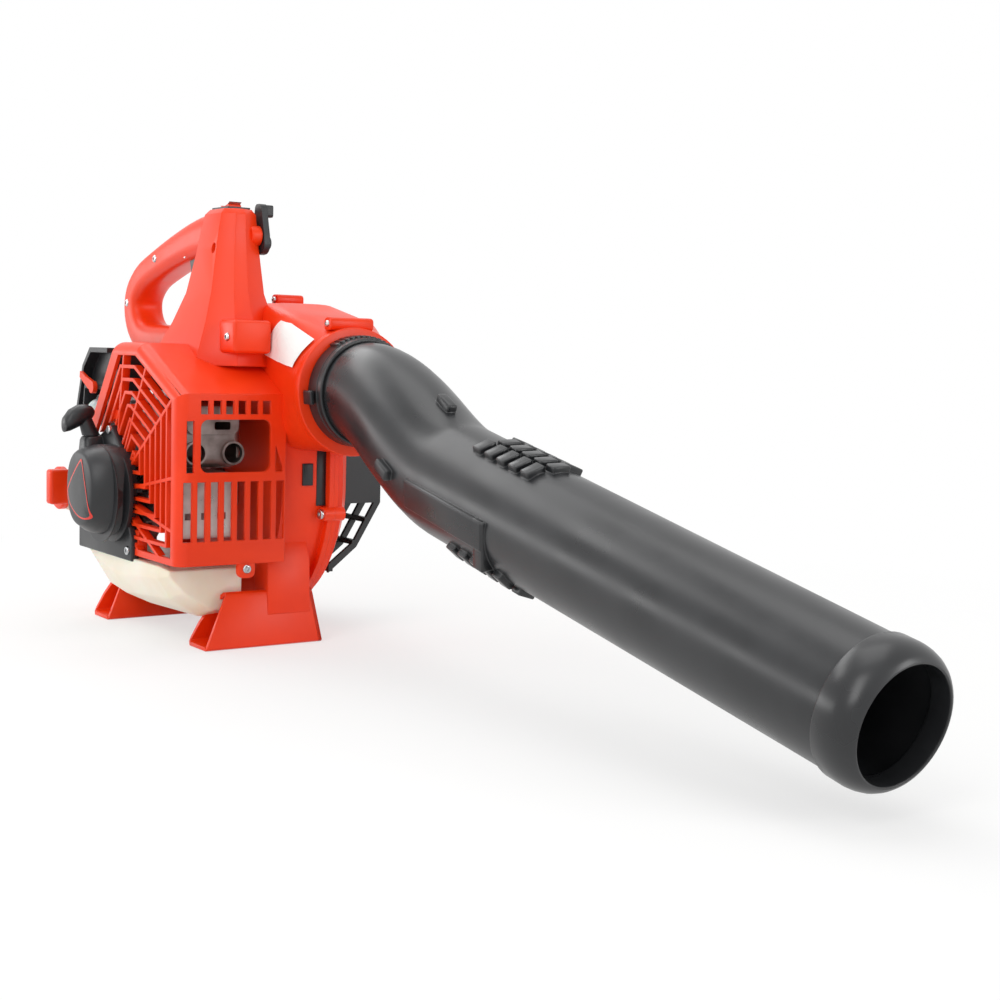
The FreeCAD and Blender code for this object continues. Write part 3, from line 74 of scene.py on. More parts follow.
def finish_material(material, tree, shader):
    """Joins a finished surface to the material's output."""
    add(tree, "ShaderNodeOutputMaterial", {"Surface": shader.outputs[0]})
    return material


def mottle(tree, place, size_mm, low, high, light, dark, detail=3.0):
    """A colour that drifts between two shades over patches of the given size."""
    patches = add(tree, "ShaderNodeTexNoise", {"Vector": place, "Scale": 1000 / size_mm, "Detail": detail})
    span = add(tree, "ShaderNodeMapRange", {"Value": patches.outputs[0], "From Min": low, "From Max": high})
    mix = add(tree, "ShaderNodeMix", {"Factor": span.outputs[0]}, data_type="RGBA")
    mix.inputs[6].default_value = colour(dark)
    mix.inputs[7].default_value = colour(light)
    return mix.outputs[2], span.outputs[0]


def cast_metal(name, light, dark, stain, edge_mm):
    """Die-cast aluminium as cast: a dull grey skin, a fine pebbled grain and softly rounded edges."""
    material, tree, place = new_material(name)
    tint, patches = mottle(tree, place, 18, 0.3, 0.7, light, dark)
    # oil and heat leave darker patches about 30 mm across
    soot = add(tree, "ShaderNodeTexNoise", {"Vector": place, "Scale": 33, "Detail": 6.0, "Roughness": 0.7})
    soot = add(tree, "ShaderNodeMapRange", {"Value": soot.outputs[0], "From Min": 0.5, "From Max": 0.8})
    tint = add(tree, "ShaderNodeMix", {"Factor": soot.outputs[0], 6: tint, 7: colour(stain)}, data_type="RGBA")
    edge = add(tree, "ShaderNodeBevel", {"Radius": edge_mm / 1000}, samples=4)
    # grain of the casting, 0.6 mm
    grain = add(tree, "ShaderNodeTexNoise", {"Vector": place, "Scale": 1600, "Detail": 2.0})
    bump = add(tree, "ShaderNodeBump", {"Height": grain.outputs[0], "Strength": 0.35, "Distance": 0.0002,
                                        "Normal": edge.outputs[0]})
    rough = add(tree, "ShaderNodeMapRange", {"Value": patches, "To Min": 0.38, "To Max": 0.55})
    shader = add(tree, "ShaderNodeBsdfPrincipled", {"Base Color": tint.outputs[2], "Roughness": rough.outputs[0],
                                                    "Metallic": 0.9, "Normal": bump.outputs[0]})
    return finish_material(material, tree, shader)


def bright_steel(name, light, dark, rough_low, rough_high, grain_mm):
    """Bright steel, turned or rolled: fine lines one way and a soft sheen."""
    material, tree, place = new_material(name)
    tint, patches = mottle(tree, place, 12, 0.3, 0.7, light, dark)
    lines = add(tree, "ShaderNodeMapping", {"Vector": place, "Scale": (1000 / grain_mm, 60.0, 60.0)})
    scratch = add(tree, "ShaderNodeTexNoise", {"Vector": lines.outputs[0], "Scale": 1.0, "Detail": 2.0})
    edge = add(tree, "ShaderNodeBevel", {"Radius": 0.0003}, samples=4)
    bump = add(tree, "ShaderNodeBump", {"Height": scratch.outputs[0], "Strength": 0.15, "Distance": 0.0001,
                                        "Normal": edge.outputs[0]})
    rough = add(tree, "ShaderNodeMapRange", {"Value": patches, "To Min": rough_low, "To Max": rough_high})
    shader = add(tree, "ShaderNodeBsdfPrincipled", {"Base Color": tint, "Roughness": rough.outputs[0],
                                                    "Metallic": 1.0, "Normal": bump.outputs[0]})
    return finish_material(material, tree, shader)


def moulded(name, light, dark, rough_low, rough_high, grain_mm, strength, edge_mm, **gloss):
    """Injection-moulded plastic: even colour, soft sheen, rounded edges and the mould's fine grain."""
    material, tree, place = new_material(name)
    tint, patches = mottle(tree, place, 45, 0.35, 0.65, light, dark)
    grain = add(tree, "ShaderNodeTexNoise", {"Vector": place, "Scale": 1000 / grain_mm, "Detail": 1.0})
    edge = add(tree, "ShaderNodeBevel", {"Radius": edge_mm / 1000}, samples=4)
    bump = add(tree, "ShaderNodeBump", {"Height": grain.outputs[0], "Strength": strength, "Distance": 0.0001,
                                        "Normal": edge.outputs[0]})
    rough = add(tree, "ShaderNodeMapRange", {"Value": patches, "To Min": rough_low, "To Max": rough_high})
    shader = add(tree, "ShaderNodeBsdfPrincipled", {"Base Color": tint, "Roughness": rough.outputs[0],
                                                    "IOR": 1.5, "Normal": bump.outputs[0]})
    for socket, value in gloss.items():
        shader.inputs[socket.replace("_", " ")].default_value = value
    return finish_material(material, tree, shader)


def dress(nodes, material):
    """Gives CAD pieces a finish."""
    for name in nodes:
        cad[name].data.materials.clear()
        cad[name].data.materials.append(material)


# as-cast skin: grey and a little rough, with darker oily patches
aluminium = cast_metal("die_cast_aluminium", "#B4B5B6", "#8F9193", "#6F6D6A", 0.8)
# zinc plate: pale metal with fine turning lines and small bright glints
steel = bright_steel("zinc_plated_steel", "#D2D3D4", "#ABADAF", 0.2, 0.36, 0.5)
# moulded rubber: near black with hardly any shine
rubber = moulded("black_rubber", "#232324", "#171718", 0.5, 0.65, 0.6, 0.25, 0.6)
dress(["crankcase", "cylinder", "flywheel"], aluminium)
dress(["crankshaft", "crank_bearings", "fan_nut"], steel)
dress(["oil_seals"], rubber)

# Ignition
# A laminated coil beside the flywheel feeds the plug through a rubber-covered lead and boot.
# The laminations are bare steel with a blackened skin.

# blackened sheet: dark grey with a dull metal sheen
laminations = bright_steel("blackened_steel", "#55585B", "#3A3C3F", 0.35, 0.5, 0.5)
dress(["ignition_coil"], laminations)
dress(["spark_plug"], steel)
dress(["spark_plug_cap", "ignition_lead"], rubber)

# Fan housing, screws and fan
# The two housing halves are red glass-filled nylon, coloured right through, with a satin skin.
# Pan-head screws hold them together; the fan inside is black nylon on the crankshaft.

# satin orange red; the mould's grain is nearer 0.1 mm and is drawn at 0.8 mm so that it shows
red = moulded("red_glass_filled_nylon", "#F43D0E", "#EC370B", 0.3, 0.4, 0.8, 0.1, 0.9,
              Specular_IOR_Level=0.32)
# the same nylon in black: charcoal, with softer glints and a little more grain
black = moulded("black_glass_filled_nylon", "#232427", "#191A1C", 0.34, 0.46, 0.8, 0.18, 0.8)
dress(["fan_case_engine_side", "fan_case_intake_side"], red)
dress(["case_screws"], steel)
dress(["impeller", "intake_guard"], black)

# Outlet duct
# The duct rises from the scroll under a raised roof and ends in a round barrel and a flange.
# It is part of the red housing moulding; screw bosses stand on its joint line.
JOINT_X, OUTLET_Z = 46.0, 195.0
SIDEWAYS, ALONG, UPWARD = (1, 0, 0), (0, 1, 0), (0, 0, 1)
FLANGE_RADIUS, BARREL_RADIUS = 48.5, 46.5
# middle x, y, z, half width, half height, squareness
DUCT_STATIONS = [
    (JOINT_X, 138.5, OUTLET_Z, FLANGE_RADIUS, FLANGE_RADIUS, 2.0),
    (JOINT_X, 145.3, OUTLET_Z, FLANGE_RADIUS, FLANGE_RADIUS, 2.0),
    (JOINT_X, 145.4, OUTLET_Z, BARREL_RADIUS, BARREL_RADIUS, 2.0),
    (45, 174, 200, 44.6, 51, 5.0),
    (41, 214, 207.5, 37, 54.5, 5.5),
    (41, 253, 207.5, 37, 54.5, 5.5),
    (26, 284, 215, 22, 19, 5.5)]


def section(centre, across, up, half_width, half_height, squareness=2.0, sides=48):
    """The corners of a closed section in mm: 2 is an ellipse, and higher values are boxes with rounded corners."""
    corners = []
    for step in range(sides):
        turn = 2 * math.pi * (step + 0.5) / sides
        wide = math.copysign(abs(math.cos(turn)) ** (2 / squareness), math.cos(turn))
        tall = math.copysign(abs(math.sin(turn)) ** (2 / squareness), math.sin(turn))
        corners.append(Vector(centre) + Vector(across) * wide * half_width + Vector(up) * tall * half_height)
    return corners


def loft(name, sections, closed=True):
    """A skin over sections: each ring is extruded from the last and set to its own section."""
    bpy.ops.object.select_all(action="DESELECT")
    bpy.ops.mesh.primitive_circle_add(vertices=len(sections[0]), radius=0.01,
                                      fill_type="NGON" if closed else "NOTHING")
    piece = bpy.context.object
    piece.name = piece.data.name = name
    bpy.ops.object.mode_set(mode="EDIT")
    bpy.ops.mesh.select_all(action="SELECT")
    net = bmesh.from_edit_mesh(piece.data)
    order = net.verts.layers.int.new("order")
    for count, corner in enumerate(net.verts):
        corner[order] = count
    for count, corners in enumerate(sections):
        if count:
            bpy.ops.mesh.extrude_region_move()
            net = bmesh.from_edit_mesh(piece.data)
            order = net.verts.layers.int["order"]
        for corner in net.verts:
            if corner.select:
                corner.co = corners[corner[order]] / 1000
        bmesh.update_edit_mesh(piece.data)
    bpy.ops.mesh.select_all(action="SELECT")
    bpy.ops.mesh.remove_doubles(threshold=1e-6)
    bpy.ops.mesh.normals_make_consistent(inside=False)
    bpy.ops.object.mode_set(mode="OBJECT")
    return piece


def rounded_block(name, low, high, edge):
    """A block in mm with its edges bevelled."""
    bpy.ops.object.select_all(action="DESELECT")
    bpy.ops.mesh.primitive_cube_add(size=0.001)
    piece = bpy.context.object
    piece.name = piece.data.name = name
    middle = [(start + end) / 2 for start, end in zip(low, high)]
    bpy.ops.object.mode_set(mode="EDIT")
    bpy.ops.mesh.select_all(action="SELECT")
    bpy.ops.transform.resize(value=[end - start for start, end in zip(low, high)])
    bpy.ops.transform.translate(value=[value / 1000 for value in middle])
    bpy.ops.mesh.bevel(offset=edge / 1000, segments=3, affect="EDGES")
    bpy.ops.object.mode_set(mode="OBJECT")
    return piece


def placed_copy(piece, matrix):
    """A copy with its own mesh, set down by a matrix."""
    copy = piece.copy()
    copy.data = piece.data.copy()
    bpy.context.scene.collection.objects.link(copy)
    copy.data.transform(matrix)
    return copy


def joined(main, others):
    """Several pieces as one object."""
    bpy.ops.object.select_all(action="DESELECT")
    for piece in [main] + others:
        piece.select_set(True)
    bpy.context.view_layer.objects.active = main
    bpy.ops.object.join()
    return main


def finished(piece, material, body, bevel_mm=0.0, angle=35, wall_mm=0.0):
    """Wall, rounded edges, shading, finish and place of a new piece."""
    bpy.ops.object.select_all(action="DESELECT")
    piece.select_set(True)
    bpy.context.view_layer.objects.active = piece
    if wall_mm:
        wall = piece.modifiers.new("wall", "SOLIDIFY")
        wall.thickness, wall.offset = wall_mm / 1000, -1
        bpy.ops.object.modifier_apply(modifier="wall")
    if bevel_mm:
        edges = piece.modifiers.new("edges", "BEVEL")
        edges.width, edges.segments = bevel_mm / 1000, 3
        edges.limit_method, edges.angle_limit = "ANGLE", math.radians(angle)
        bpy.ops.object.modifier_apply(modifier="edges")
    bpy.ops.object.shade_smooth_by_angle(angle=math.radians(angle))
    piece.data.materials.clear()
    piece.data.materials.append(material)
    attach(piece, body)
    return piece


duct = loft("outlet_duct", [section((x, y, z), SIDEWAYS, UPWARD, wide, tall, square)
                            for x, y, z, wide, tall, square in DUCT_STATIONS])
bosses = [
    loft("boss", [section((x, 149, 246), ALONG, UPWARD, 5.5, 5, 3, 16) for x in (27, 64)]),
    loft("boss", [section((x, 249, 265), ALONG, UPWARD, 5, 4.5, 3, 16) for x in (34, 58)])]
finished(joined(duct, bosses), red, "machine", 0.8, 30)


def screw_head(name, x, y, z, radius, body="machine"):
    """A pan-head screw that faces left, with a round socket in its crown."""
    profile = ((0.6, 1.0), (-0.6, 1.0), (-1.5, 0.8), (-1.7, 0.5), (-1.7, 0.45), (-0.4, 0.45))
    head = loft(name, [section((x + depth, y, z), ALONG, UPWARD, share * radius, share * radius, 2, 24)
                       for depth, share in profile])
    return finished(head, steel, body, 0.0, 30)


BOSS_SCREW_RADIUS = 2.6
screw_head("outlet_boss_screw", 27, 149, 246, BOSS_SCREW_RADIUS)
screw_head("roof_boss_screw", 34, 249, 265, BOSS_SCREW_RADIUS)

# Label on the duct
# A bare white vinyl plate lies on the duct's upper left and follows its curve.
# It is a thin stuck-on film with square corners.
bpy.ops.object.select_all(action="DESELECT")
bpy.ops.mesh.primitive_grid_add(x_subdivisions=14, y_subdivisions=14, size=1)
label = bpy.context.object
label.name = label.data.name = "duct_label"
# how far the film stands off the duct, in metres
LIFT = 0.0013
low_left, low_right = Vector((3.4, 204.2, 221.8)), Vector((1.5, 153.2, 212.2))
top_left, top_right = Vector((9.7, 184.1, 244.2)), Vector((16.5, 148.9, 232.7))
for corner in label.data.vertices:
    across, up = corner.co.x + 0.5, corner.co.y + 0.5
    low, top = low_left.lerp(low_right, across), top_left.lerp(top_right, across)
    corner.co = low.lerp(top, up) / 1000
wrap = label.modifiers.new("wrap", "SHRINKWRAP")
wrap.target, wrap.offset, wrap.wrap_mode = duct, LIFT, "ABOVE_SURFACE"
bpy.ops.object.modifier_apply(modifier="wrap")
bpy.ops.object.mode_set(mode="EDIT")
bpy.ops.mesh.select_all(action="SELECT")
bpy.ops.mesh.normals_make_consistent(inside=False)
bpy.ops.object.mode_set(mode="OBJECT")
# vinyl film: clean white, smooth, with a light gloss
film = moulded("white_vinyl_film", "#FAFAF8", "#F1F1EE", 0.25, 0.32, 1.5, 0.03, 0.3)
finished(label, film, "machine", 0.0, 60)

# Carburettor and air cleaner
# The carburettor is a small die-casting on a heat-insulating block behind the engine.
# The air cleaner is a black nylon box with a foam pad; choke lever and purge bulb are on its left.
dress(["carburetor"], aluminium)
dress(["throttle_lever"], steel)
dress(["insulator", "air_cleaner_base", "air_cleaner_cover", "purge_ring"], black)
dress(["choke_lever"], red)
# silicone: whitish and glossy, letting some light through
bulb = moulded("clear_silicone", "#E9E9E4", "#DCDCD5", 0.12, 0.2, 1.0, 0.05, 0.6, Subsurface_Weight=0.3)
dress(["purge_bulb"], bulb)
# open-cell foam: dark and matt, with pores 1.5 mm across
foam = moulded("open_cell_foam", "#4A4944", "#302F2B", 0.8, 0.95, 1.5, 1.0, 0.5)
dress(["air_filter", "fuel_filter"], foam)

# Muffler and heat shield
# The muffler is two pressed steel shells, and the shield under it is thin bright sheet.
# Heat has given both a warm, dull brownish skin.

# heat-tinted pressing: brownish grey and dull
hot_steel = bright_steel("pressed_steel_sheet", "#A89D99", "#7D716D", 0.36, 0.52, 1.2)
# rolled sheet: paler and brighter than the muffler
shield_steel = bright_steel("bright_steel_sheet", "#DAD8D4", "#BDBAB5", 0.26, 0.38, 1.0)
dress(["muffler"], hot_steel)
dress(["heat_shield", "muffler_gasket"], shield_steel)

# Fuel tank, cap and lines
# The tank is blow-moulded natural polyethylene: milky, waxy and letting light through.
# The cap is red nylon; grommet, fuel line and return line are black rubber.

# creamy and waxy, lit softly from inside, with edges as round as blow-moulding leaves them
milky = moulded("natural_polyethylene", "#F4EDDD", "#ECE1CA", 0.32, 0.42, 1.0, 0.08, 2.5,
                Subsurface_Weight=0.35, Subsurface_Scale=0.008)
dress(["tank_grommet", "fuel_line", "return_line"], rubber)
# each station along the tank: y, then its corners as x, z from the inner side round the underside
TANK_RIBS = [
    (186, [(-23, 60), (-23, 36), (-31, 29), (-48, 28), (-70, 43), (-82, 56), (-82, 60)]),
    (200, [(-20, 62), (-20, 31), (-30, 23), (-52, 22), (-75, 37), (-85, 53), (-85, 62)]),
    (280, [(-20, 62), (-20, 29), (-30, 21), (-56, 21), (-77, 31), (-85, 46), (-85, 62)]),
    (318, [(-20, 62), (-20, 34), (-30, 26), (-58, 25), (-75, 34), (-84, 52), (-84, 62)]),
    (350, [(-22, 62), (-22, 50), (-30, 44), (-58, 40), (-72, 46), (-80, 58), (-80, 63)]),
    (357, [(-30, 84), (-30, 54), (-36, 48), (-58, 45), (-72, 50), (-82, 68), (-82, 88)]),
    (385, [(-30, 96), (-30, 74), (-37, 68), (-58, 66), (-72, 70), (-84, 90), (-84, 101)]),
    (414, [(-34, 100), (-34, 86), (-40, 82), (-58, 80), (-70, 83), (-80, 96), (-80, 104)])]
tank = loft("moulded_tank", [[Vector((x, y, z)) for x, z in corners] for y, corners in TANK_RIBS])
# height z, half width, half depth of the part that rises to the filler
RISER_STATIONS = [(86, 27, 29), (92, 27, 30), (104, 26, 27), (116, 22, 22), (120, 17, 16)]
riser = loft("tank_riser", [section((-57, 384, z), SIDEWAYS, ALONG, wide, deep, 5, 40)
                            for z, wide, deep in RISER_STATIONS])
FILLER_Y, FILLER_Z, NECK_RADIUS = 400, 104, 12
neck = loft("tank_neck", [section((x, FILLER_Y, FILLER_Z), ALONG, UPWARD, NECK_RADIUS, NECK_RADIUS, 2, 40)
                          for x in (-60, -87)])
finished(joined(tank, [riser, neck]), milky, "machine", 4.0, 12)
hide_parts("fuel_tank")
# face x and radius of the cap's disc, under the wing that the hand turns
DISC_PROFILE = [(-83.2, 17), (-84, 18), (-88.5, 18), (-89.5, 17), (-89.8, 10)]
seal_disc = loft("cap_disc", [section((x, FILLER_Y, FILLER_Z), ALONG, UPWARD, radius, radius, 2, 48)
                              for x, radius in DISC_PROFILE])
wing = rounded_block("wing_cap", (-102.8, 379, 92), (-85, 391, 121), 2.5)
finished(joined(wing, [seal_disc]), red, "fuel_cap", 0.0, 40)
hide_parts("fuel_cap")

# Engine cover and latch
# The cover is one red nylon moulding with side grille, window and slots.
# A black latch holds its front edge, and a screw through an ear holds its lower corner.
dress(["engine_cover"], red)


def sticker(name, low, high, material, edge=0.3):
    """A thin film or flush block between two corners."""
    return finished(rounded_block(name, low, high, edge), material, "machine", 0.0, 40)


sticker("cover_latch_tab", (21, 172.6, 122), (30, 175, 139), black, 0.5)
sticker("rim_strip", (33.6, 173.6, 106), (41.6, 174.3, 149), black, 0.2)
EAR_X, EAR_FRONT, EAR_BACK, EAR_Z, EAR_HALF = -27.6, 168, 173, 61, 7
ear = loft("cover_ear", [section((EAR_X, y, EAR_Z), SIDEWAYS, UPWARD, EAR_HALF, EAR_HALF, 3, 24)
                         for y in (EAR_FRONT, EAR_BACK)])
finished(ear, red, "machine", 0.6)
ear_screw = screw_head("cover_ear_screw", 0, 0, 0, 3.4)
# the head faces left when made, and is turned here to face the front
ear_screw.data.transform(Matrix.Translation(Vector((EAR_X, EAR_FRONT, EAR_Z)) / 1000)
                         @ Matrix.Rotation(math.radians(90), 4, "Z"))

# Starter
# The recoil starter is a black nylon drum on a flat base, screwed to the crankcase.
# A reel, a flat spring and the rope are inside, and the rope leaves through a guide on top.
dress(["starter_reel"], black)
dress(["starter_pawls", "recoil_spring", "starter_screws"], steel)
# braided nylon: off white, matt and knobbly
rope = moulded("braided_nylon_rope", "#E6E4DC", "#BDBAB0", 0.6, 0.8, 1.0, 0.6, 0.3)
dress(["starter_rope"], rope)
BASE_X, BASE_THICK, ROPE_X = -80.6, 6.4, -93
# middle x, y, z, half width, half height, squareness, from the base out to the domed end
DRUM_STATIONS = [
    (BASE_X, 284, 112, 35, 36, 2.6), (-98, 285, 113, 34, 35, 2.5), (-106, 286, 113, 31.5, 33, 2.4),
    (-110.5, 286, 114, 28.5, 30.5, 2.3), (-113.4, 286, 114, 26, 28.5, 2.3), (-114.4, 286, 114, 22, 25, 2.3),
    (-115, 286, 114, 10, 12, 2.1)]
BASE_OUTLINE = [(246, 60), (246, 76), (256, 92), (256, 134), (291, 163), (330, 146), (356, 130), (356, 60)]
# middle y, z and half width of the guide
GUIDE_STATIONS = [(309, 112, 11), (310, 140, 10), (312, 150, 8.5), (312.5, 153, 7)]
drum = loft("starter_drum", [section((x, y, z), ALONG, UPWARD, wide, tall, square)
                             for x, y, z, wide, tall, square in DRUM_STATIONS])
side_plate = loft("starter_side_plate", [[Vector((x, y, z)) for y, z in BASE_OUTLINE]
                                         for x in (BASE_X, BASE_X - BASE_THICK)])
guide = loft("rope_guide", [section((ROPE_X, y, z), ALONG, SIDEWAYS, half, half, 4, 24)
                            for y, z, half in GUIDE_STATIONS])
finished(joined(side_plate, [drum, guide]), black, "machine", 1.2, 30)
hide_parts("starter_housing")

# Panel on the starter
# A bare dark polycarbonate panel in the shape of a rounded triangle is stuck on the drum's end.
# A thin red rim runs round it, and both follow the dome.
PANEL_OUTLINE = [(280, 138), (276, 137), (262, 98), (264, 91), (284, 91), (303, 100), (309, 110), (306, 115)]


def cut_corners(points, times):
    """The outline with each corner cut off again and again, until it is round."""
    for _ in range(times):
        longer = []
        for count, spot in enumerate(points):
            after = points[(count + 1) % len(points)]
            longer += [tuple(0.75 * a + 0.25 * b for a, b in zip(spot, after)),
                       tuple(0.25 * a + 0.75 * b for a, b in zip(spot, after))]
        points = longer
    return points


# polycarbonate: near black and smooth, with a clear gloss
panel_skin = moulded("black_polycarbonate_panel", "#1D1D1F", "#161618", 0.2, 0.26, 1.5, 0.02, 0.3)
# printed ink: plain red and smooth
rim_paint = moulded("red_printed_rim", "#E23A2C", "#D63226", 0.25, 0.3, 1.5, 0.02, 0.2)
PANEL_X, PANEL_Y, PANEL_Z = -118, 283, 109
outline = cut_corners(PANEL_OUTLINE, 3)
# each ring is a share of the outline's size, and is then pressed on to the drum
for name, shares, skin in (("starter_panel_rim", (1.0, 0.965, 0.93), rim_paint),
                           ("starter_panel", (0.93, 0.75, 0.5, 0.25, 0.02), panel_skin)):
    plate = loft(name, [[Vector((PANEL_X, PANEL_Y + share * (y - PANEL_Y), PANEL_Z + share * (z - PANEL_Z)))
                         for y, z in outline] for share in shares], closed=False)
    wrap = plate.modifiers.new("wrap", "SHRINKWRAP")
    wrap.target, wrap.offset, wrap.wrap_method = side_plate, 0.0003, "PROJECT"
    wrap.use_project_x, wrap.use_positive_direction, wrap.use_negative_direction = True, True, True
    bpy.ops.object.modifier_apply(modifier="wrap")
    finished(plate, skin, "machine", 0.0, 60)

# Pull grip
# The T-shaped grip is soft-touch black nylon, moulded in one with its tapered stem.
# The rope comes up through the stem and is knotted inside the bar.
# height z, place y and radius of the stem, which leans outwards
STEM_STATIONS = [(153.4, 314, 7.2), (160, 314.5, 6.2), (168, 315, 6), (172, 315.5, 7)]
STEM_LEAN = 0.4
# place x, z, half depth and half height of the bar, from its low tip to its high end
BAR_STATIONS = [(-115.5, 161, 3, 3), (-114.5, 162, 6, 6), (-110, 165.5, 7.6, 8.5), (-104, 168.5, 8, 8.8),
                (-98, 170.5, 7.8, 7.6), (-93, 171.5, 6.4, 5.2), (-90.5, 171.8, 3, 2.5)]
stem = loft("starter_pull_grip", [section((ROPE_X, y, z), ALONG, SIDEWAYS, radius, radius, 2, 24)
                                  for z, y, radius in STEM_STATIONS])
for corner in stem.data.vertices:
    corner.co.x -= STEM_LEAN * (corner.co.z - STEM_STATIONS[0][0] / 1000)
bar = loft("bar", [section((x, 316, z), ALONG, UPWARD, deep, tall, 2.4, 24)
                   for x, z, deep, tall in BAR_STATIONS])
finished(joined(stem, [bar]), black, "pull_grip", 0.0, 50)
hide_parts("starter_grip")

# Handle and controls
# The handle is two red nylon shells screwed together round the trigger and its cable.
# Trigger, cruise lever and switch frame are black nylon, and the switch is red.
dress(["stop_switch"], red)
dress(["throttle_trigger", "cruise_lever", "switch_frame"], black)
dress(["trigger_pin"], steel)
dress(["throttle_cable"], rubber)
HANDLE_X, GRIP_HALF_WIDTH = -6.0, 15
# y, z and half thickness along the grip's loop
GRIP_PATH = [(240, 312, 17), (262, 314, 17), (290, 312, 15.5), (330, 304, 14), (370, 293.5, 13), (398, 284, 12.8),
             (415.4, 270, 13), (418, 254, 13.5), (408.4, 239, 14), (390, 231, 14), (350, 229, 14), (300, 229, 14),
             (240, 229, 14)]
GRIP_STEPS = 4


def curve_through(points, steps):
    """Points on a smooth curve through the given ones, each with its running direction."""
    spots = []
    for count in range(len(points) - 1):
        before, start, end, after = (Vector(points[max(0, min(len(points) - 1, count + k))]) for k in (-1, 0, 1, 2))
        for step in range(steps):
            t = step / steps
            spots.append(0.5 * (2 * start + (end - before) * t + (2 * before - 5 * start + 4 * end - after) * t * t
                                + (3 * start - before - 3 * end + after) * t ** 3))
    return spots + [Vector(points[-1])]


spots = curve_through(GRIP_PATH, GRIP_STEPS)
rings = []
for count, spot in enumerate(spots):
    ahead = spots[min(count + 1, len(spots) - 1)] - spots[max(count - 1, 0)]
    ahead = Vector((0, ahead.x, ahead.y)).normalized()
    outward = Vector((0, -ahead.z, ahead.y))
    rings.append(section((HANDLE_X, spot.x, spot.y), SIDEWAYS, outward, GRIP_HALF_WIDTH, spot.z, 3.4, 32))
grip = loft("handle_grip", rings)
# height z, left x, right x, front y, rear y of the leg, which has its two front corners cut off
LEG = [(212, -47, 34, 198, 306), (228, -43, 26, 201, 296), (245, -38, 18, 206, 284), (268, -32, 11, 213, 272),
       (300, -27, 8, 218, 264), (318, -24, 7, 221, 262), (329, -22, 6, 222, 260), (332.8, -19, 3, 225, 257)]
rings = []
for z_level, x0, x1, y0, y1 in LEG:
    left_cut, right_cut = 0.3 * (x1 - x0), 0.42 * (x1 - x0)
    rings.append([Vector((x, y, z_level)) for x, y in (
        (x0, y1), (x0, y0 + left_cut), (x0 + left_cut, y0), (x1 - right_cut, y0), (x1, y0 + 0.5 * right_cut),
        (x1, y1))])
leg = loft("handle_leg", rings)
leg_block = rounded_block("leg_block", (-32, 186, 222), (0, 212, 247), 3)
# the small hole near the leg's top
drill = loft("leg_drill", [section((x, 234, 302), ALONG, UPWARD, 3.4, 4.2, 2, 32) for x in (-40, -15)])
cut = leg.modifiers.new("cut", "BOOLEAN")
cut.object, cut.operation, cut.solver = drill, "DIFFERENCE", "EXACT"
bpy.context.view_layer.objects.active = leg
bpy.ops.object.modifier_apply(modifier="cut")
bpy.data.objects.remove(drill)
finished(joined(leg, [leg_block]), red, "machine", 1.2, 20)
finished(grip, red, "machine", 0.0, 60)
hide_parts("handle_left_shell")
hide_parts("handle_right_shell", "handle_screws")
HANDLE_SCREW_RADIUS, LUG_RADIUS = 3.2, 8
for number, (y, z_level) in enumerate(((236, 304), (360, 298), (419, 262))):
    screw_head(f"handle_screw_{number}", -20.4, y, z_level, HANDLE_SCREW_RADIUS)
screw_head("leg_block_screw", -32, 196.5, 234, HANDLE_SCREW_RADIUS)
pivot = loft("cruise_pivot_lug", [section((x, 229, 313), ALONG, UPWARD, LUG_RADIUS, LUG_RADIUS, 2, 32)
                                  for x in (0, 9)])
finished(pivot, red, "machine", 0.8)

# Feet
# Two red nylon box feet are moulded as open wedges and screwed under the housing.
# y behind the foot's front edge and z, round the wedge
FOOT_PROFILE = [(0, 1.5), (1.5, 0), (30, 0), (33.5, 2.5), (33.8, 6), (31, 18), (25, 29), (16, 38.5), (11, 42),
                (7.5, 42.5), (5.5, 41), (4.5, 38)]
FOOT_WALL, LEFT_LEAN, RIGHT_LEAN = 3, 0.44, 0.18
# height z of the riser, where its front starts, and how deep it is
RISER_STEPS = [(24, 1.5, 28), (40, 2.5, 27), (63, 3.5, 27), (78, 10, 27)]


def foot(name, node, front, left, right, riser):
    """A leaning hollow beam, cut obliquely at its open left end, with a riser up to the housing."""
    beam = loft(name, [
        [Vector((left + LEFT_LEAN * z_level, front + y, z_level)) for y, z_level in FOOT_PROFILE],
        [Vector((right - RIGHT_LEAN * z_level, front + y, z_level)) for y, z_level in FOOT_PROFILE]], closed=False)
    wall = beam.modifiers.new("wall", "SOLIDIFY")
    wall.thickness, wall.offset = FOOT_WALL / 1000, -1
    bpy.context.view_layer.objects.active = beam
    bpy.ops.object.modifier_apply(modifier="wall")
    cap = loft("cap", [[Vector((right - RIGHT_LEAN * z_level - depth, front + y, z_level))
                        for y, z_level in FOOT_PROFILE] for depth in (FOOT_WALL, 0)])
    low, high = riser
    post = loft("riser", [
        [Vector((x, front + y, z_level)) for x, y in ((low, 1 + lean), (high, 1 + lean), (high, deep), (low, deep))]
        for z_level, lean, deep in RISER_STEPS])
    finished(joined(beam, [cap, post]), red, "machine", 0.9, 30)
    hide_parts(node)


foot("front_wedge_foot", "front_foot", 172, -58, 40, (-6, 30))
foot("rear_wedge_foot", "rear_foot", 334, -70, 28, (-6, 26))

# Blow tube
# The tube, its collar and the nozzle ring are blow-moulded black polyethylene with a satin skin.
# The tube turns into the collar and is held there by two catch lugs.

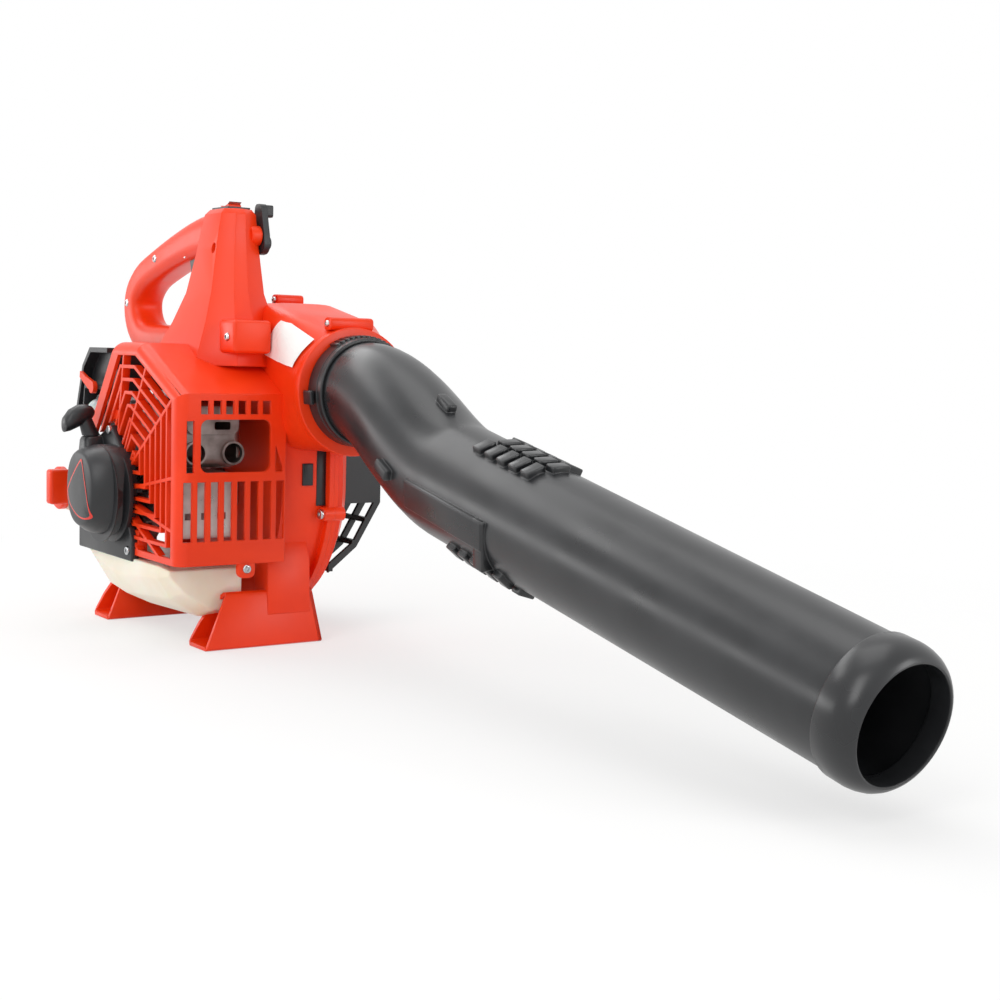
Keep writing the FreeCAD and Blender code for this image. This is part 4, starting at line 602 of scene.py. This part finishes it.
# polyethylene: dark grey, and smooth enough to carry long soft highlights
tube_black = moulded("black_polyethylene", "#28292B", "#1F2022", 0.27, 0.36, 1.2, 0.05, 1.2)
OUTLET_Y, BEND_Y, BEND_Z = 122.7, -7.0, 138.1
SLOPE = math.radians(12.5)
RUN, START_RADIUS, TUBE_RADIUS, END_RADIUS = 385.0, 38.0, 40.9, 38.6
TUBE_WALL, BEND_STEPS, RUN_STEPS, BEND_REACH = 2.5, 16, 8, 45
down_tube = Vector((0, -math.cos(SLOPE), -math.sin(SLOPE)))


def tube_section(centre, ahead, radius, sides=64):
    """A round section square to the way the tube runs."""
    return section(centre, SIDEWAYS, (0, ahead.z, -ahead.y), radius, radius, 2, sides)


start, end = Vector((JOINT_X, OUTLET_Y, OUTLET_Z)), Vector((JOINT_X, BEND_Y, BEND_Z))
start_handle, end_handle = start + Vector((0, -BEND_REACH, 0)), end - BEND_REACH * down_tube
rings = [tube_section(start + Vector((0, 10, 0)), Vector((0, -1, 0)), START_RADIUS)]
for step in range(BEND_STEPS + 1):
    t = step / BEND_STEPS
    centre = ((1 - t) ** 3 * start + 3 * (1 - t) ** 2 * t * start_handle + 3 * (1 - t) * t * t * end_handle
              + t ** 3 * end)
    ahead = ((1 - t) ** 2 * (start_handle - start) + 2 * (1 - t) * t * (end_handle - start_handle)
             + t * t * (end - end_handle)).normalized()
    blend = min(1.0, t / 0.6)
    blend = blend * blend * (3 - 2 * blend)
    rings.append(tube_section(centre, ahead, START_RADIUS + blend * (TUBE_RADIUS - START_RADIUS)))
for step in range(1, RUN_STEPS + 1):
    rings.append(tube_section(end + down_tube * (RUN * step / RUN_STEPS), down_tube,
                              TUBE_RADIUS + (END_RADIUS - TUBE_RADIUS) * step / RUN_STEPS))
tube = loft("moulded_blow_tube", rings, closed=False)
wall = tube.modifiers.new("wall", "SOLIDIFY")
wall.thickness, wall.offset = TUBE_WALL / 1000, -1
bpy.context.view_layer.objects.active = tube
bpy.ops.object.modifier_apply(modifier="wall")


def on_tube(turn):
    """The place of something modelled along -Y on the tube, turned round it."""
    return (Matrix.Translation(end / 1000) @ Matrix.Rotation(SLOPE, 4, "X")
            @ Matrix.Rotation(math.radians(90 - turn), 4, "Y"))


# two fields of grip blocks: first row, row pitch, and the middle row's offset in mm, and the turn between columns
GRIP_START, GRIP_PITCH, GRIP_STAGGER, COLUMN_TURN = 38.0, 13.5, 6, 21
tooth = rounded_block("grip_block", (-6.8, -9, TUBE_RADIUS - 4), (6.8, 0, TUBE_RADIUS + 3.4), 1.1)
extras = []
for turn in (92, 253):
    for row in range(5):
        for column in (-1, 0, 1):
            forward_by = GRIP_START + GRIP_PITCH * row + (GRIP_STAGGER if column == 0 else 0)
            extras.append(placed_copy(tooth, on_tube(turn + COLUMN_TURN * column)
                                      @ Matrix.Translation((0, -forward_by / 1000, 0))))
bpy.data.objects.remove(tooth)
PAD_TURN = 190
raised = rounded_block("raised_pad", (-10, -88, TUBE_RADIUS - 5), (10, 6, TUBE_RADIUS + 2), 1.4)
raised_foot = rounded_block("pad_foot", (-24, -89, TUBE_RADIUS - 9), (10, -78, TUBE_RADIUS + 1.2), 1.2)
extras += [placed_copy(raised, on_tube(PAD_TURN)), placed_copy(raised_foot, on_tube(PAD_TURN))]
bpy.data.objects.remove(raised)
bpy.data.objects.remove(raised_foot)
for place_of_lug, wide, tall in (((44, 12, 189.5), 8, 12), ((6, 26, 146), 12, 8)):
    lug = rounded_block("catch_lug", (-wide / 2, -8.5, -tall / 2), (wide / 2, 8.5, tall / 2), 1.6)
    extras.append(placed_copy(lug, Matrix.Translation(Vector(place_of_lug) / 1000)
                              @ Matrix.Rotation(math.radians(30), 4, "X")))
    bpy.data.objects.remove(lug)
finished(joined(tube, extras), tube_black, "tube", 0.0, 32)
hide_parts("blow_tube")

# reach past the ring's rear edge and radius, round the rolled end
RING_PROFILE = [(0, 39.2), (0.3, 40.0), (1.2, 40.5), (11, 40.6), (15, 40.1), (19, 38.9), (22, 37.2), (24.2, 35.2),
                (25, 33.6), (24.6, 32.7), (23, 32.4), (12, 32.4), (11.5, 33), (11, 37), (0, 39.2)]
RING_OVERLAP = 10
rings = [tube_section(end + down_tube * (RUN - RING_OVERLAP + reach), down_tube, radius)
         for reach, radius in RING_PROFILE]
nozzle = loft("moulded_nozzle_ring", rings, closed=False)
finished(nozzle, tube_black, "tube", 0.0, 40)
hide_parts("nozzle_ring")

# reach from the collar's rear edge and radius
COLLAR_PROFILE = [(0, 38.2), (0, 40.2), (0.8, 41), (13, 41), (13.4, 40.2), (14, 40.2), (14.4, 41), (18.3, 40.6),
                  (19, 39.8), (19, 38.2), (0, 38.2)]
COLLAR_Y, COLLAR_TEETH, FIRST_TOOTH, TOOTH_SPAN, TAB_TURN = 138, 18, -32, 105, -95
rings = [tube_section(Vector((JOINT_X, COLLAR_Y - reach, OUTLET_Z)), Vector((0, -1, 0)), radius)
         for reach, radius in COLLAR_PROFILE]
collar = loft("toothed_collar", rings, closed=False)
ridge = rounded_block("collar_tooth", (-1.6, 125.5, 40), (1.6, 137, 42.8), 0.5)
collar_middle = Matrix.Translation((JOINT_X / 1000, 0, OUTLET_Z / 1000))
ridge_copies = []
for count in range(COLLAR_TEETH):
    angle = math.radians(FIRST_TOOTH + TOOTH_SPAN / (COLLAR_TEETH - 1) * count)
    ridge_copies.append(placed_copy(ridge, collar_middle @ Matrix.Rotation(angle, 4, "Y")))
tab = placed_copy(ridge, collar_middle @ Matrix.Rotation(math.radians(TAB_TURN), 4, "Y")
                  @ Matrix.Diagonal((3.2, 1.0, 1.06, 1)))
bpy.data.objects.remove(ridge)
finished(joined(collar, ridge_copies + [tab]), tube_black, "tube", 0.0, 40)
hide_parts("tube_collar")

# Studio
# A white floor that keeps a soft shadow, broad lamps and the camera of the photograph.
# None of it is part of the object.
FLOOR_REACH = 14.0
bpy.ops.object.select_all(action="DESELECT")
bpy.ops.mesh.primitive_plane_add(size=2 * FLOOR_REACH, location=(0, 0, -0.0005))
floor = bpy.context.object
floor.name = "floor"
# matt paper: white and even, taking a soft shadow
paint, tree, place = new_material("white_paper")
patches = mottle(tree, place, 400, 0.3, 0.7, "#FBFBFA", "#F8F8F7")[0]
paper = add(tree, "ShaderNodeBsdfDiffuse", {"Color": patches})
light = add(tree, "ShaderNodeEmission", {"Color": (1, 1, 1, 1), "Strength": 1.0})
# the shadow stays near the part, and the paper fades to plain white 0.9 m out
distance = add(tree, "ShaderNodeVectorMath", {0: place}, operation="LENGTH")
fade = add(tree, "ShaderNodeMapRange", {"Value": distance.outputs["Value"], "From Min": 0.35, "From Max": 0.9,
                                        "To Min": 0.6, "To Max": 1.0})
rays = add(tree, "ShaderNodeLightPath")
shown = add(tree, "ShaderNodeMath", {0: rays.outputs["Is Camera Ray"], 1: rays.outputs["Is Glossy Ray"]},
            operation="MAXIMUM")
shown = add(tree, "ShaderNodeMath", {0: shown.outputs[0], 1: rays.outputs["Is Transmission Ray"]},
            operation="MAXIMUM")
share = add(tree, "ShaderNodeMath", {0: shown.outputs[0], 1: fade.outputs[0]}, operation="MULTIPLY")
sheet = add(tree, "ShaderNodeMixShader", {0: share.outputs[0], 1: paper.outputs[0], 2: light.outputs[0]})
finish_material(paint, tree, sheet)
floor.data.materials.append(paint)

world = bpy.data.worlds.new("studio")
bpy.context.scene.world = world
world.use_nodes = True
sky = world.node_tree
sky.nodes.clear()
rays = add(sky, "ShaderNodeLightPath")
shown = add(sky, "ShaderNodeMath", {0: rays.outputs["Is Camera Ray"], 1: rays.outputs["Is Glossy Ray"]},
            operation="MAXIMUM")
shown = add(sky, "ShaderNodeMath", {0: shown.outputs[0], 1: rays.outputs["Is Transmission Ray"]},
            operation="MAXIMUM")
lit = add(sky, "ShaderNodeBackground", {"Color": (1, 1, 1, 1), "Strength": 0.55})
seen = add(sky, "ShaderNodeBackground", {"Color": (1, 1, 1, 1), "Strength": 1.0})
both = add(sky, "ShaderNodeMixShader", {0: shown.outputs[0], 1: lit.outputs[0], 2: seen.outputs[0]})
add(sky, "ShaderNodeOutputWorld", {"Surface": both.outputs[0]})


def softbox(name, place, aim, width, height, power):
    """A rectangular lamp aimed at a point."""
    lamp = bpy.data.lights.new(name, "AREA")
    lamp.shape, lamp.size, lamp.size_y, lamp.energy = "RECTANGLE", width, height, power
    holder = bpy.data.objects.new(name, lamp)
    bpy.context.scene.collection.objects.link(holder)
    holder.location = place
    holder.rotation_euler = (Vector(aim) - Vector(place)).to_track_quat("-Z", "Y").to_euler()


softbox("key", (-1.9, -0.9, 1.5), (0, 0, 0.15), 0.9, 1.8, 18)
softbox("fill", (1.2, -2.2, 0.9), (0, -0.1, 0.1), 0.8, 1.2, 15)
softbox("top", (0.2, 0.2, 2.4), (0, 0, 0), 1.4, 1.8, 12)
# two long lamps behind lay the two soft streaks along the tube
softbox("rear_high", (-0.4, 1.7, 2.0), (0, -0.1, 0.1), 2.4, 0.6, 16)
softbox("rear_low", (-1.9, 1.9, 0.45), (0, -0.1, 0.1), 2.4, 0.45, 12)

# the photograph's camera: direction, place in metres and lens
azimuth, pitch, roll = math.radians(35.6), math.radians(5.3), math.radians(1.6)
ahead = Vector((math.sin(azimuth), math.cos(azimuth), 0))
side = Vector((math.cos(azimuth), -math.sin(azimuth), 0))
forward = ahead * math.cos(pitch) - Vector(UPWARD) * math.sin(pitch)
above = ahead * math.sin(pitch) + Vector(UPWARD) * math.cos(pitch)
right = side * math.cos(roll) + above * math.sin(roll)
above = above * math.cos(roll) - side * math.sin(roll)
lens = bpy.data.cameras.new("camera")
lens.sensor_width, lens.lens = 36.0, 56.88
camera = bpy.data.objects.new("camera", lens)
bpy.context.scene.collection.objects.link(camera)
spot = Vector((-0.5583, -0.8967, 0.2273))
camera.matrix_world = Matrix.Translation(spot) @ Matrix((right, above, -forward)).transposed().to_4x4()
bpy.context.scene.camera = camera
bpy.context.scene.view_settings.view_transform = "Standard"
